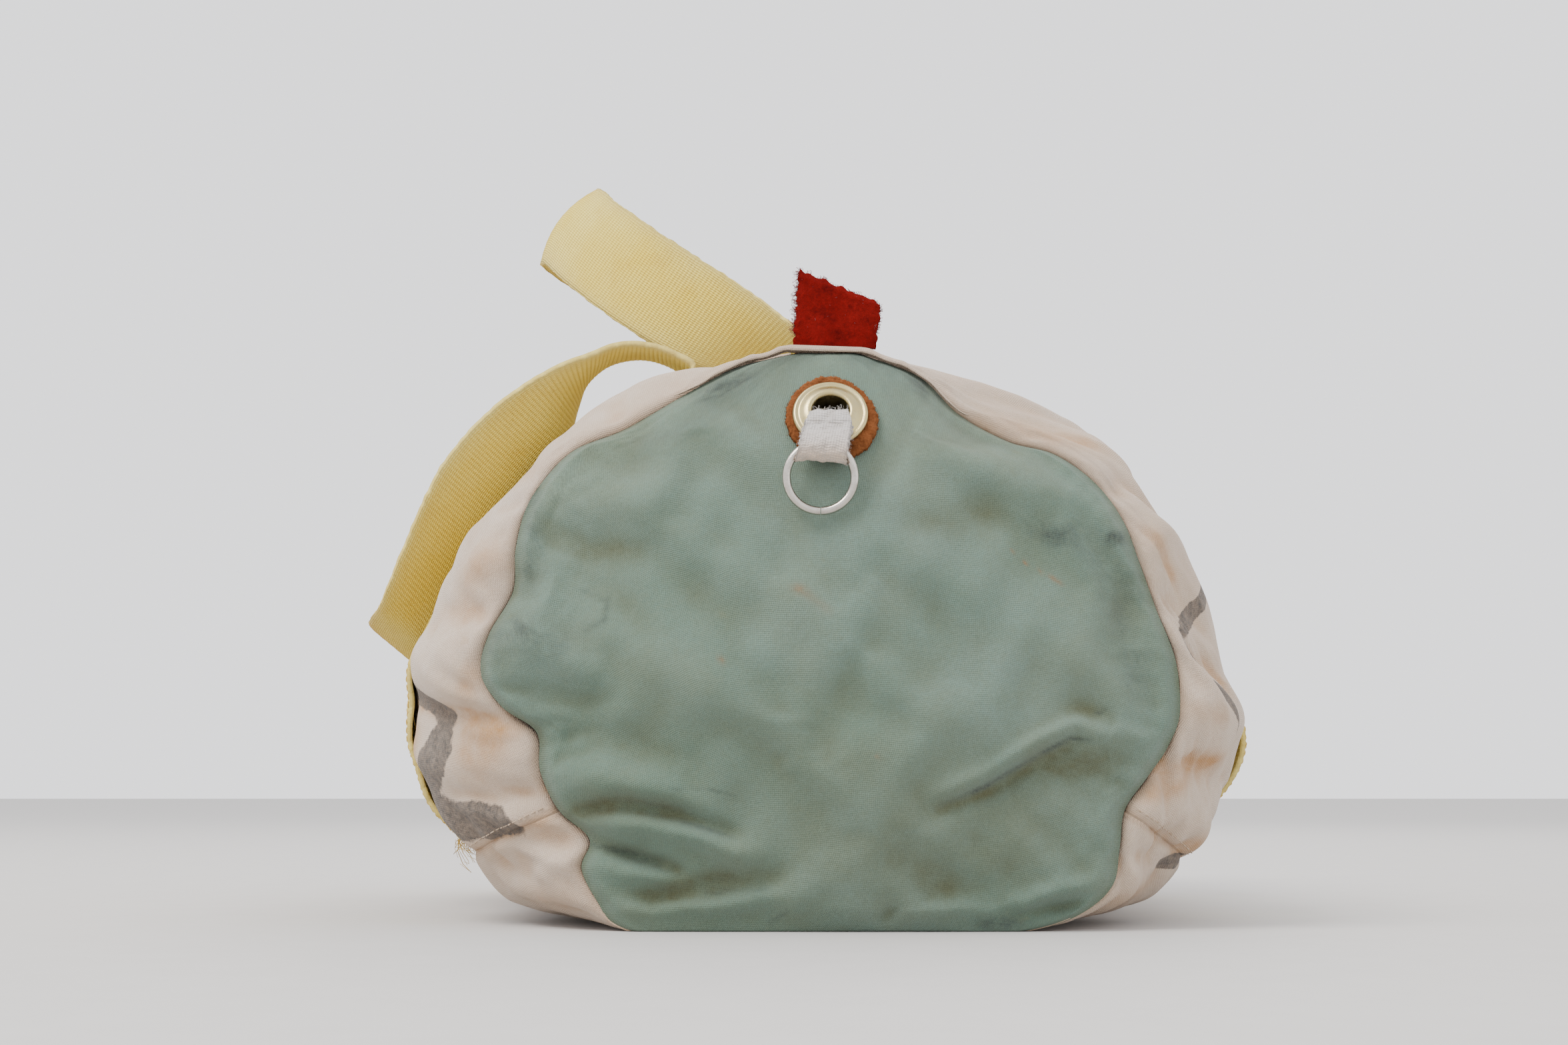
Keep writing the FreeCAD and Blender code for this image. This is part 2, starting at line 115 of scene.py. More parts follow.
def follow(keys, at):
    """Values at 'at' on a smooth curve through keys, whose first number is the place along it."""
    keys = np.asarray(keys, float)
    where, values = keys[:, 0], keys[:, 1:]
    slopes = np.gradient(values, where, axis=0)
    at = np.clip(np.asarray(at, float), where[0], where[-1])
    i = np.clip(np.searchsorted(where, at, side="right") - 1, 0, len(where) - 2)
    span = (where[i + 1] - where[i])[..., None]
    f = (at - where[i])[..., None] / span
    h = 2 * f**3 - 3 * f**2 + 1, f**3 - 2 * f**2 + f, 3 * f**2 - 2 * f**3, f**3 - f**2
    return h[0] * values[i] + h[1] * span * slopes[i] + h[2] * values[i + 1] + h[3] * span * slopes[i + 1]


def outline(left, right, index):
    """Signed (x, z) on a section: negative index is the left half."""
    index = np.asarray(index, float)
    l, r = follow(left, np.abs(index)), follow(right, np.abs(index))
    x = np.where(index < 0, -l[..., 0], r[..., 0])
    z = np.where(index < 0, l[..., 1], r[..., 1])
    return x, z


def seam_y(z):
    return SEAM_Y - END_LEAN * np.maximum(0, (z - 120) / 110) ** 2


def gather(y):
    over = np.clip((np.abs(y) - STRAIGHT_HALF) / (SEAM_Y - STRAIGHT_HALF), 0, 1)
    return 1 - np.sqrt(1 - over**2)


def eased(count):
    """Places from -1 to 1 across a panel, closer together towards both ends."""
    most = math.pi / 2 * SEAM_EASE
    return np.sin(np.linspace(-1, 1, count) * math.pi / 2 * SEAM_EASE) / math.sin(most)


def end_outline(index, rear):
    """An end seam's (x, z). The rear seam is the front one turned half round."""
    if rear:
        x, z = outline(FRONT_LEFT, FRONT_RIGHT, -np.asarray(index, float))
        return -x, z
    return outline(FRONT_LEFT, FRONT_RIGHT, index)


def body_point(index, along):
    """The body's outside at an outline index and a place along it, from -1 in front to 1 at the rear."""
    mx, mz = outline(MIDDLE_LEFT, MIDDLE_RIGHT, index)
    fx, fz = end_outline(index, False)
    rx, rz = end_outline(index, True)
    ex, ez = np.where(along < 0, fx, rx), np.where(along < 0, fz, rz)
    g = gather(along * SEAM_Y)
    return np.stack([mx + (ex - mx) * g, along * seam_y(ez), mz + (ez - mz) * g], -1)


# ---------------------------------------------------------------- small fields that make cloth look worn

def waves(p, q, scale, seed):
    """Smooth noise of two coordinates, about -1 to 1."""
    r = np.random.default_rng(seed)
    total = np.zeros(np.broadcast(p, q).shape)
    for _ in range(9):
        angle, phase, k = r.uniform(0, math.tau), r.uniform(0, math.tau), r.uniform(0.6, 1.7) / scale
        total = total + np.sin(math.tau * k * (p * math.cos(angle) + q * math.sin(angle)) + phase)
    return total / 3.2


def stroke(p, q, line, width, height):
    """A ridge along a line of points (a hollow where height is negative) that fades at both ends."""
    line = np.array(line, float)
    lengths = np.linalg.norm(np.diff(line, axis=0), axis=1)
    best, place, before = np.full(p.shape, 1e9), np.zeros(p.shape), 0.0
    for a, b, length in zip(line, line[1:], lengths):
        d = b - a
        c = np.clip(((p - a[0]) * d[0] + (q - a[1]) * d[1]) / (d @ d), 0, 1)
        gap = np.hypot(p - a[0] - c * d[0], q - a[1] - c * d[1])
        near = gap < best
        best, place = np.where(near, gap, best), np.where(near, before + c * length, place)
        before += length
    fade = 0.4 + 0.6 * np.sqrt(np.sin(math.pi * np.clip(place / before, 0, 1)))
    return height * np.exp(-((best / width) ** 2)) * fade


def strokes(p, q, listed, shift=(0, 0), turn=1):
    total = np.zeros(np.broadcast(p, q).shape)
    for line, width, height in listed:
        total += stroke(turn * p - shift[0], q - shift[1], line, width, height)
    return total


def unit(a):
    return a / np.linalg.norm(a, axis=-1, keepdims=True)


def bell(distance, width, power=2):
    """1 at no distance, falling smoothly to 0 past the width."""
    return np.exp(-((distance / width) ** power))


def run_along(points):
    """How far along a line of points each one is."""
    return np.concatenate([[0], np.cumsum(np.linalg.norm(np.diff(points, axis=0), axis=1))])


def box_in_mm(node):
    low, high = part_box(node)
    return np.array(low) / MM, np.array(high) / MM


def facing(grid, axis, sign=1):
    """The same outward direction at each of a grid's points."""
    out = np.zeros_like(grid)
    out[..., axis] = sign
    return out


def normals_of(grid):
    n = np.cross(np.gradient(grid, axis=0), np.gradient(grid, axis=1))
    return n / np.maximum(np.linalg.norm(n, axis=-1, keepdims=True), 1e-9)


def blurred(values, times):
    for _ in range(times):
        padded = np.pad(values, [(1, 1), (1, 1)] + [(0, 0)] * (values.ndim - 2), mode="edge")
        beside = padded[:-2, 1:-1] + padded[2:, 1:-1] + padded[1:-1, :-2] + padded[1:-1, 2:]
        values = (beside + 2 * values) / 6
    return values


def hollows(grid, out, times, depth):
    """1 in the bottom of folds that are about 'depth' mm deep, and 0 on their crests."""
    low = ((blurred(grid, times) - grid) * out).sum(-1)
    return np.clip(low / depth, 0, 1)


def resampled(grid, rows, columns):
    """The same surface with another number of rows and columns."""
    for count in (rows, columns):
        keys = np.column_stack([np.linspace(0, 1, grid.shape[0]), grid.reshape(grid.shape[0], -1)])
        grid = follow(keys, np.linspace(0, 1, count)).reshape((count,) + grid.shape[1:]).swapaxes(0, 1)
    return grid


def buckled(grid, out, held, spacing, swell, slack, most):
    """The grid after a short cloth simulation. Held places stay, and the rest buckles as slack cloth does.
    Its movement is limited to 'most' mm and is added to the grid, so fine detail is kept."""
    middles = grid[:, grid.shape[1] // 2], grid[grid.shape[0] // 2]
    lengths = [np.linalg.norm(np.diff(line, axis=0), axis=1).sum() for line in middles]
    rows, columns = (max(12, int(length / spacing)) for length in lengths)
    coarse = resampled(grid, rows, columns)
    pins = resampled(np.repeat(held[..., None], 3, -1), rows, columns)[..., 0]
    mesh = bpy.data.meshes.new("sim")
    start = (coarse.reshape(-1, 3) * SIM_SCALE).tolist()
    mesh.from_pydata(start, [], grid_faces(rows, columns).tolist())
    obj = bpy.data.objects.new("sim", mesh)
    bpy.context.scene.collection.objects.link(obj)
    group = obj.vertex_groups.new(name="held")
    for n, weight in enumerate(pins.ravel()):
        group.add([n], float(np.clip(weight, 0, 1)), "REPLACE")
    facing = np.sign((normals_of(coarse) * resampled(out, rows, columns)).sum(-1).mean())
    cloth = obj.modifiers.new("cloth", "CLOTH")
    cloth.settings.quality = 6
    cloth.settings.mass = 0.3
    cloth.settings.tension_stiffness = cloth.settings.compression_stiffness = 25
    cloth.settings.shear_stiffness = 12
    cloth.settings.bending_stiffness = 0.35
    cloth.settings.vertex_group_mass = "held"
    cloth.settings.shrink_min = -slack
    cloth.settings.use_pressure = True
    cloth.settings.uniform_pressure_force = swell * facing
    cloth.settings.effector_weights.gravity = 0
    cloth.point_cache.frame_end = SIM_FRAMES
    for number in range(1, SIM_FRAMES + 1):
        bpy.context.scene.frame_set(number)
    done = obj.evaluated_get(bpy.context.evaluated_depsgraph_get()).to_mesh()
    points = np.zeros(rows * columns * 3, np.float32)
    done.vertices.foreach_get("co", points)
    bpy.data.objects.remove(obj)
    bpy.data.meshes.remove(mesh)
    bpy.context.scene.frame_set(1)
    moved = points.reshape(rows, columns, 3).astype(float) * 100 - coarse
    length = np.maximum(np.linalg.norm(moved, axis=-1, keepdims=True), 1e-9)
    moved *= most * np.tanh(length / most) / length
    return grid + resampled(moved, *grid.shape[:2]) * (1 - held[..., None])


# ---------------------------------------------------------------- meshes

def add_mesh(name, points, faces, material, uv=None, attributes=None):
    """A smooth mesh object from points in mm."""
    mesh = bpy.data.meshes.new(name)
    mesh.from_pydata((np.asarray(points, float) * MM).tolist(), [], [tuple(int(i) for i in f) for f in faces])
    if uv is not None:
        layer = mesh.uv_layers.new(name="cloth")
        index = np.zeros(len(mesh.loops), np.int32)
        mesh.loops.foreach_get("vertex_index", index)
        layer.data.foreach_set("uv", np.asarray(uv, np.float32)[index].ravel())
    for key, value in (attributes or {}).items():
        attribute = mesh.attributes.new(key, "FLOAT", "POINT")
        attribute.data.foreach_set("value", np.asarray(value, np.float32).ravel())
    mesh.polygons.foreach_set("use_smooth", [True] * len(mesh.polygons))
    mesh.materials.append(material)
    obj = bpy.data.objects.new(name, mesh)
    bpy.context.scene.collection.objects.link(obj)
    return obj


def grid_faces(rows, columns):
    i = np.arange(rows - 1)[:, None] * columns + np.arange(columns - 1)[None, :]
    return np.stack([i, i + 1, i + columns + 1, i + columns], -1).reshape(-1, 4)


def measured_uv(grid):
    """UVs in metres, measured along the grid's own lines, so that a weave keeps its size."""
    step_u = np.linalg.norm(np.diff(grid, axis=1), axis=-1)
    step_v = np.linalg.norm(np.diff(grid, axis=0), axis=-1)
    u = np.concatenate([np.zeros((grid.shape[0], 1)), np.cumsum(step_u, 1)], 1)
    v = np.concatenate([np.zeros((1, grid.shape[1])), np.cumsum(step_v, 0)], 0)
    u -= u[:, grid.shape[1] // 2][:, None]
    return np.stack([u, v], -1) * MM


def add_sheet(name, grid, out, thickness, material, attributes=None, keep=None):
    """A closed sheet. The grid is its face on the 'out' side, and 'keep' says which of its cells exist."""
    rows, columns = grid.shape[:2]
    count = rows * columns
    inner = grid - out * thickness
    cells = np.ones((rows - 1, columns - 1), bool) if keep is None else keep
    top = grid_faces(rows, columns)[cells.ravel()]
    if ((normals_of(grid) * out).sum(-1).mean()) < 0:
        top = top[:, ::-1]
    edges = np.concatenate([top[:, [k, (k + 1) % 4]] for k in range(4)])
    keys = edges[:, 0].astype(np.int64) * count + edges[:, 1]
    back = edges[:, 1].astype(np.int64) * count + edges[:, 0]
    rim = edges[~np.isin(keys, back)]
    walls = np.stack([rim[:, 1], rim[:, 0], rim[:, 0] + count, rim[:, 1] + count], -1)
    faces = np.concatenate([top, top[:, ::-1] + count, walls])
    points = np.concatenate([grid.reshape(-1, 3), inner.reshape(-1, 3)])
    used = np.zeros(2 * count, bool)
    used[faces.ravel()] = True
    place = np.cumsum(used) - 1
    flat = measured_uv(grid).reshape(-1, 2)
    uv = np.concatenate([flat, flat])[used]
    both = {k: np.concatenate([np.ravel(v), np.ravel(v)])[used] for k, v in (attributes or {}).items()}
    return add_mesh(name, points[used], place[faces], material, uv, both)


def tubes(paths, radii, sides=5):
    """Points and faces of tubes along several paths (each an array of points), with radii along each."""
    points, faces = [], []
    for path, radius in zip(paths, radii):
        path = np.asarray(path, float)
        radius = np.broadcast_to(radius, len(path))
        along = np.gradient(path, axis=0)
        along /= np.maximum(np.linalg.norm(along, axis=1, keepdims=True), 1e-9)
        side = np.cross(along, [0.31, 0.17, 0.93])
        side /= np.maximum(np.linalg.norm(side, axis=1, keepdims=True), 1e-9)
        other = np.cross(along, side)
        first = len(points)
        for centre, s, o, r in zip(path, side, other, radius):
            for k in range(sides):
                a = math.tau * k / sides
                points.append(centre + r * (s * math.cos(a) + o * math.sin(a)))
        for n in range(len(path) - 1):
            for k in range(sides):
                a, b = first + sides * n + k, first + sides * n + (k + 1) % sides
                faces.append((a, b, b + sides, a + sides))
        last = first + sides * (len(path) - 1)
        faces.append(tuple(first + k for k in reversed(range(sides))))
        faces.append(tuple(last + k for k in range(sides)))
    return points, faces


def add_fibres(name, roots, tips, material, radius=0.07, curl=0.25, seed=3):
    """Short hairs or loose threads that bend a little and taper to their tips."""
    r = np.random.default_rng(seed)
    paths = []
    f = np.linspace(0, 1, 6)[:, None]
    for root, tip in zip(roots, tips):
        bend = r.normal(0, curl, 3) * np.linalg.norm(tip - root)
        curve = root + (tip - root) * f + bend * np.sin(math.pi * f)
        paths.append(curve + bend[::-1] * 0.4 * np.sin(math.tau * f))
    points, faces = tubes(paths, [radius * np.linspace(1, 0.45, 6)] * len(paths), 4)
    return add_mesh(name, points, faces, material)


def add_stitches(name, lines, material, stitch=2.6, gap=0.9, radius=0.33, seed=5):
    """Rows of stitches that rise from the cloth and sink back. A line is (points, outward directions)."""
    r = np.random.default_rng(seed)
    paths = []
    f = np.linspace(0, 1, 6)
    for points, out in lines:
        points, out = np.asarray(points, float), np.asarray(out, float)
        run = run_along(points)
        for start in np.arange(0.5, run[-1] - stitch, stitch + gap):
            at = start + f * stitch
            line = np.stack([np.interp(at, run, points[:, k]) for k in range(3)], -1)
            up = np.stack([np.interp(at, run, out[:, k]) for k in range(3)], -1)
            rise = radius * (0.95 * np.sin(math.pi * f) ** 0.5 - 0.75)[:, None]
            paths.append(line + up * rise + r.normal(0, 0.06, 3))
    points, faces = tubes(paths, [radius * np.array([0.7, 1, 1.08, 1.08, 1, 0.7])] * len(paths), 6)
    return add_mesh(name, points, faces, material)


class Patch:
    """A surface that can be asked for points by (row, column), each 0 to 1."""

    def __init__(self, grid, out):
        self.grid, self.out = grid, out

    def at(self, row, column, lift=0.0):
        rows, columns = self.grid.shape[:2]
        r, c = np.broadcast_arrays(np.clip(row, 0, 1) * (rows - 1), np.clip(column, 0, 1) * (columns - 1))
        i, j = np.minimum(r.astype(int), rows - 2), np.minimum(c.astype(int), columns - 2)
        fr, fc = (r - i)[..., None], (c - j)[..., None]
        found = []
        for a in (self.grid, self.out):
            found.append((a[i, j] * (1 - fr) + a[i + 1, j] * fr) * (1 - fc)
                         + (a[i, j + 1] * (1 - fr) + a[i + 1, j + 1] * fr) * fc)
        out = found[1] / np.linalg.norm(found[1], axis=-1, keepdims=True)
        return found[0] + out * lift, out

    def line(self, rows, columns, lift=0.0, count=240):
        """A stitch line through the given places."""
        at = np.linspace(0, 1, count)
        keys = np.linspace(0, 1, len(rows))
        return self.at(np.interp(at, keys, rows), np.interp(at, keys, columns), lift)


def settle(obj, body, slot, *nodes):
    """Rides a piece on a body and hides the CAD nodes that it stands for; its slot is not used."""
    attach(obj, body)
    if nodes:
        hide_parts(*nodes)
    return obj


# ---------------------------------------------------------------- materials

class Graph:
    """A material's nodes, added by short calls. A value is a number, a colour or another node's output."""

    def __init__(self, name):
        self.material = bpy.data.materials.new(name)
        self.material.use_nodes = True
        self.tree = self.material.node_tree
        self.shader = self.tree.nodes["Principled BSDF"]

    def node(self, kind, output=0, settings=None, **inputs):
        made = self.tree.nodes.new(kind)
        for key, value in (settings or {}).items():
            setattr(made, key, value)
        for key, value in inputs.items():
            socket = made.inputs[int(key[1:])] if key[0] == "_" else made.inputs[key.replace("_", " ")]
            self.put(socket, value)
        return made.outputs[output]

    def put(self, socket, value):
        if isinstance(value, bpy.types.NodeSocket):
            self.tree.links.new(value, socket)
        elif isinstance(value, tuple) and len(value) == 3 and socket.type == "RGBA":
            socket.default_value = (*value, 1)
        else:
            socket.default_value = value

    def place(self):
        return self.node("ShaderNodeTexCoord", output=3)

    def cloth(self):
        return self.node("ShaderNodeUVMap", settings={"uv_map": "cloth"})

    def stored(self, name):
        return self.node("ShaderNodeAttribute", output=2, settings={"attribute_name": name})

    def noise(self, vector, scale, detail=4.0, rough=0.55):
        return self.node("ShaderNodeTexNoise", Vector=vector, Scale=scale, Detail=detail, Roughness=rough)

    def bands(self, vector, period, axis, distortion=0.0):
        """Soft stripes across an axis, 0 to 1, with a period in metres."""
        return self.node("ShaderNodeTexWave", output=1, settings={"bands_direction": axis}, Vector=vector,
                         Scale=math.pi / 10 / period, Distortion=distortion, Detail=1.0)

    def sum(self, kind, a, b=0.5, clamp=False):
        return self.node("ShaderNodeMath", settings={"operation": kind, "use_clamp": clamp}, _0=a, _1=b)

    def times(self, a, b):
        return self.sum("MULTIPLY", a, b, True)

    def stretch(self, value, low, high, new_low=0.0, new_high=1.0):
        return self.node("ShaderNodeMapRange", Value=value, From_Min=low, From_Max=high,
                         To_Min=new_low, To_Max=new_high)

    def mix(self, share, a, b, how="MIX"):
        settings = {"data_type": "RGBA", "blend_type": how}
        return self.node("ShaderNodeMix", output=2, settings=settings, _0=share, _6=a, _7=b)

    def bump(self, height, distance, strength=1.0, below=None):
        inputs = {"Height": height, "Distance": distance, "Strength": strength}
        if below is not None:
            inputs["Normal"] = below
        return self.node("ShaderNodeBump", **inputs)

    def finish(self, colour, roughness, normal=None, **inputs):
        self.put(self.shader.inputs["Base Color"], colour)
        self.put(self.shader.inputs["Roughness"], roughness)
        if normal is not None:
            self.put(self.shader.inputs["Normal"], normal)
        for key, value in inputs.items():
            self.put(self.shader.inputs[key.replace("_", " ")], value)
        return self.material


def woven(g, period, distortion=0.6):
    """Height of a plain weave on the cloth's own UVs."""
    return g.sum("MULTIPLY", g.sum("ADD", g.bands(g.cloth(), period, "X", distortion),
                                   g.bands(g.cloth(), period, "Y", distortion)), 0.5)


def canvas(name, base, pale, dull, stain_and_shade, dirt_and_shade, strong=0.8, paint=None):
    """Washed cotton canvas: patchy colour, stains and painted shade in the folds and seams, smudges and
    painted crease shade, a fine weave, and paint if any.
    """
    g = Graph(name)
    place = g.place()
    colour = g.mix(g.stretch(g.noise(place, 9.0, 5.0, 0.6), 0.36, 0.64), base, pale)
    cloudy = g.noise(place, 17.0, 8.0, 0.68)
    colour = g.mix(g.times(g.stretch(cloudy, 0.42, 0.70), 0.62), colour, dull)
    speckle = g.noise(place, 130.0, 5.0, 0.72)
    rough_edge = g.stretch(g.noise(place, 45.0, 5.0, 0.65), 0.3, 0.7, 0.25, 1.25)
    # Painted shade: the hollow mask darkens fold bottoms and seams towards the stain colour, together with
    # the real brown stains.
    grime_and_shade = g.times(g.sum("MULTIPLY", g.stored("hollow"), rough_edge), strong)
    colour = g.mix(grime_and_shade, colour, stain_and_shade)
    streaks = g.noise(g.cloth(), 60.0, 7.0, 0.75)
    # The dirt mask paints real smudges together with painted shade along creases and under the lifted hem,
    # and darkens the body towards the bottom and beside the zip.
    smudge_and_shade = g.times(g.stored("dirt_and_shade"), g.stretch(streaks, 0.36, 0.62, 0.1, 1.3))
    colour = g.mix(smudge_and_shade, colour, dirt_and_shade)
    spots = g.stretch(g.noise(place, 85.0, 3.0, 0.5), 0.70, 0.76, 0.0, 0.45)
    colour = g.mix(spots, colour, dull)
    rust = g.times(g.stored("rust"), g.stretch(speckle, 0.3, 0.6, 0.2, 1.2))
    colour = g.mix(rust, colour, (0.20, 0.105, 0.045))
    if paint is not None:
        ragged = g.sum("ADD", g.stored("paint"), g.stretch(speckle, 0.2, 0.8, -0.13, 0.13))
        worn = g.stretch(g.noise(place, 300.0, 6.0, 0.75), 0.3, 0.6, 0.80, 1.0)
        colour = g.mix(g.times(g.stretch(ragged, 0.47, 0.55), worn), colour, paint)
    threads = woven(g, 0.0008)
    fine = g.noise(place, 1300.0, 3.0, 0.75)
    slubs = g.noise(place, 520.0, 4.0, 0.8)
    colour = g.mix(g.stretch(slubs, 0.30, 0.62, 0.32, 0.0), colour, dull)
    colour = g.mix(g.stretch(fine, 0.3, 0.7, 0.0, 0.30), colour, (1.0, 0.98, 0.94), "SOFT_LIGHT")
    colour = g.mix(g.stretch(threads, 0.1, 0.8, 0.22, 0.0), colour, (0.03, 0.03, 0.02))
    normal = g.bump(g.noise(place, 190.0, 6.0, 0.7), 0.0012, 0.45)
    normal = g.bump(g.sum("ADD", threads, fine), 0.0002, 0.9, normal)
    rough = g.stretch(speckle, 0.2, 0.8, 0.86, 0.97)
    return g.finish(colour, rough, normal, Sheen_Weight=0.12, Sheen_Roughness=0.6, Specular_IOR_Level=0.15)


def webbing(name):
    """Cotton webbing: cross ribs, lengthwise yarns, greyer edges, painted shade in the rib grooves and
    painted shade on a handle's hanging middle.
    """
    g = Graph(name)
    place = g.place()
    cloudy = g.stretch(g.noise(place, 16.0, 5.0, 0.6), 0.35, 0.65)
    colour = g.mix(cloudy, (0.82, 0.62, 0.085), (0.92, 0.77, 0.20))
    grime_and_shade = g.stretch(g.noise(place, 55.0, 6.0, 0.7), 0.52, 0.75, 0.0, 0.35)
    colour = g.mix(grime_and_shade, colour, (0.52, 0.33, 0.06))
    colour = g.mix(g.times(g.stored("edge"), 0.5), colour, (0.40, 0.34, 0.18))
    # Painted shade: orange-brown darkening where a handle's hanging middle turns downward, away from the
    # light.
    colour = g.mix(g.times(g.stored("hanging_shade"), 0.92), colour, (0.40, 0.185, 0.012))
    # Painted shade in the grooves between the cross ribs.
    colour = g.mix(g.times(g.stored("groove_shade"), 0.5), colour, (0.34, 0.20, 0.03))
    yarns = g.bands(g.cloth(), 0.0011, "X", 1.2)
    fuzz = g.noise(place, 900.0, 4.0, 0.75)
    colour = g.mix(g.stretch(yarns, 0.1, 0.8, 0.25, 0.0), colour, (0.30, 0.17, 0.02))
    colour = g.mix(g.stretch(fuzz, 0.3, 0.7, 0.0, 0.35), colour, (1.0, 0.97, 0.82), "SOFT_LIGHT")
    normal = g.bump(g.sum("ADD", yarns, fuzz), 0.0004, 0.9)
    return g.finish(colour, 0.88, normal, Sheen_Weight=0.15, Sheen_Tint=(0.95, 0.85, 0.55, 1),
                    Specular_IOR_Level=0.15)


def suede(name, base, pale, dark, nap=700.0):
    """Suede: a brushed nap, darker scuffs and a soft sheen."""
    g = Graph(name)
    place = g.place()
    brushed = g.noise(place, 60.0, 6.0, 0.7)
    colour = g.mix(g.stretch(brushed, 0.35, 0.66), base, pale)
    colour = g.mix(g.stretch(g.noise(place, 150.0, 5.0, 0.7), 0.52, 0.7, 0.0, 0.8), colour, dark)
    fibres = g.noise(place, nap, 5.0, 0.8)
    colour = g.mix(g.stretch(fibres, 0.35, 0.65, 0.55, 0.0), colour, dark)
    normal = g.bump(g.sum("ADD", fibres, brushed), 0.0006, 1.0)
    return g.finish(colour, 0.95, normal, Sheen_Weight=0.5, Sheen_Tint=(*pale, 1), Specular_IOR_Level=0.08)


def cotton(name, base, warm, dull):
    """Narrow cotton tape: a coarse weave, greyer at one end and warmer at the other."""
    g = Graph(name)
    place = g.place()
    colour = g.mix(g.stored("warm"), base, warm)
    colour = g.mix(g.stretch(g.noise(place, 220.0, 5.0, 0.7), 0.45, 0.7, 0.0, 0.7), colour, dull)
    threads = woven(g, 0.0011, 1.0)
    fine = g.noise(place, 1600.0, 3.0, 0.7)
    colour = g.mix(g.stretch(threads, 0.05, 0.7, 0.45, 0.0), colour, dull)
    normal = g.bump(g.sum("ADD", threads, fine), 0.0004, 1.0)
    return g.finish(colour, 0.93, normal, Sheen_Weight=0.3, Specular_IOR_Level=0.12)


def metal(name, base, tint, roughness, worn, scratch=900.0):
    """Handled metal: cloudy tarnish, fine scratches and uneven polish."""
    g = Graph(name)
    place = g.place()
    cloud = g.noise(place, 240.0, 5.0, 0.65)
    colour = g.mix(g.stretch(cloud, 0.38, 0.66), base, tint)
    marks = g.noise(place, scratch, 6.0, 0.8)
    colour = g.mix(g.stretch(marks, 0.58, 0.74, 0.0, 0.6), colour, worn)
    normal = g.bump(g.sum("ADD", cloud, marks), 0.00012, 0.5)
    polish = g.stretch(cloud, 0.3, 0.7, roughness * 0.8, roughness * 1.3)
    return g.finish(colour, polish, normal, Metallic=1.0)


def thread(name, base, dull):
    """Twisted sewing thread."""
    g = Graph(name)
    twist = g.noise(g.place(), 1400.0, 3.0, 0.7)
    colour = g.mix(g.stretch(twist, 0.4, 0.6), base, dull)
    return g.finish(colour, 0.8, g.bump(twist, 0.0002, 0.8), Sheen_Weight=0.3)


# Each canvas's fourth colour is brown stain that also paints shade in folds and at seams; its fifth is dirt
# that also paints shade along creases and under the hem.
TEAL = canvas("teal_canvas", (0.100, 0.155, 0.118), (0.140, 0.208, 0.176), (0.118, 0.140, 0.088),
              (0.074, 0.074, 0.034), (0.030, 0.040, 0.040), 0.9)
CREAM = canvas("cream_canvas", (0.500, 0.385, 0.295), (0.590, 0.500, 0.420), (0.440, 0.310, 0.215),
               (0.400, 0.205, 0.075), (0.080, 0.075, 0.070), 1.0, paint=(0.062, 0.055, 0.050))
WEBBING = webbing("yellow_webbing")
RED = suede("red_suede", (0.130, 0.003, 0.003), (0.210, 0.007, 0.007), (0.055, 0.001, 0.001))
BROWN = suede("brown_leather", (0.180, 0.058, 0.018), (0.270, 0.098, 0.034), (0.080, 0.024, 0.008), 1000.0)
COTTON = cotton("cotton_tape", (0.560, 0.530, 0.510), (0.640, 0.500, 0.390), (0.400, 0.360, 0.320))
TAPE = cotton("zip_tape", (0.500, 0.420, 0.330), (0.520, 0.430, 0.330), (0.330, 0.260, 0.190))
BRASS = metal("pale_brass", (0.500, 0.405, 0.190), (0.460, 0.395, 0.215), 0.30, (0.270, 0.190, 0.080))
STEEL = metal("bright_steel", (0.550, 0.510, 0.460), (0.450, 0.410, 0.365), 0.22, (0.300, 0.250, 0.200))
ZIP_METAL = metal("zip_brass", (0.560, 0.420, 0.190), (0.440, 0.330, 0.150), 0.36, (0.180, 0.120, 0.060))
CREAM_THREAD = thread("cream_thread", (0.520, 0.400, 0.290), (0.340, 0.230, 0.140))
YELLOW_THREAD = thread("yellow_thread", (0.640, 0.440, 0.100), (0.480, 0.300, 0.050))
RED_THREAD = thread("red_fibre", (0.190, 0.008, 0.007), (0.110, 0.003, 0.003))

METAL_NODES = {"grommet_face": BRASS, "grommet_washer": BRASS, "steel_ring": STEEL, "zip_slider": ZIP_METAL,
               "zip_pull": ZIP_METAL, "zip_stops": ZIP_METAL, "right_zip_teeth": ZIP_METAL,
               "left_zip_teeth": ZIP_METAL}
for node, material in METAL_NODES.items():
    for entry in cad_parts[node].material_slots:
        entry.material = material

# ---------------------------------------------------------------- end panels

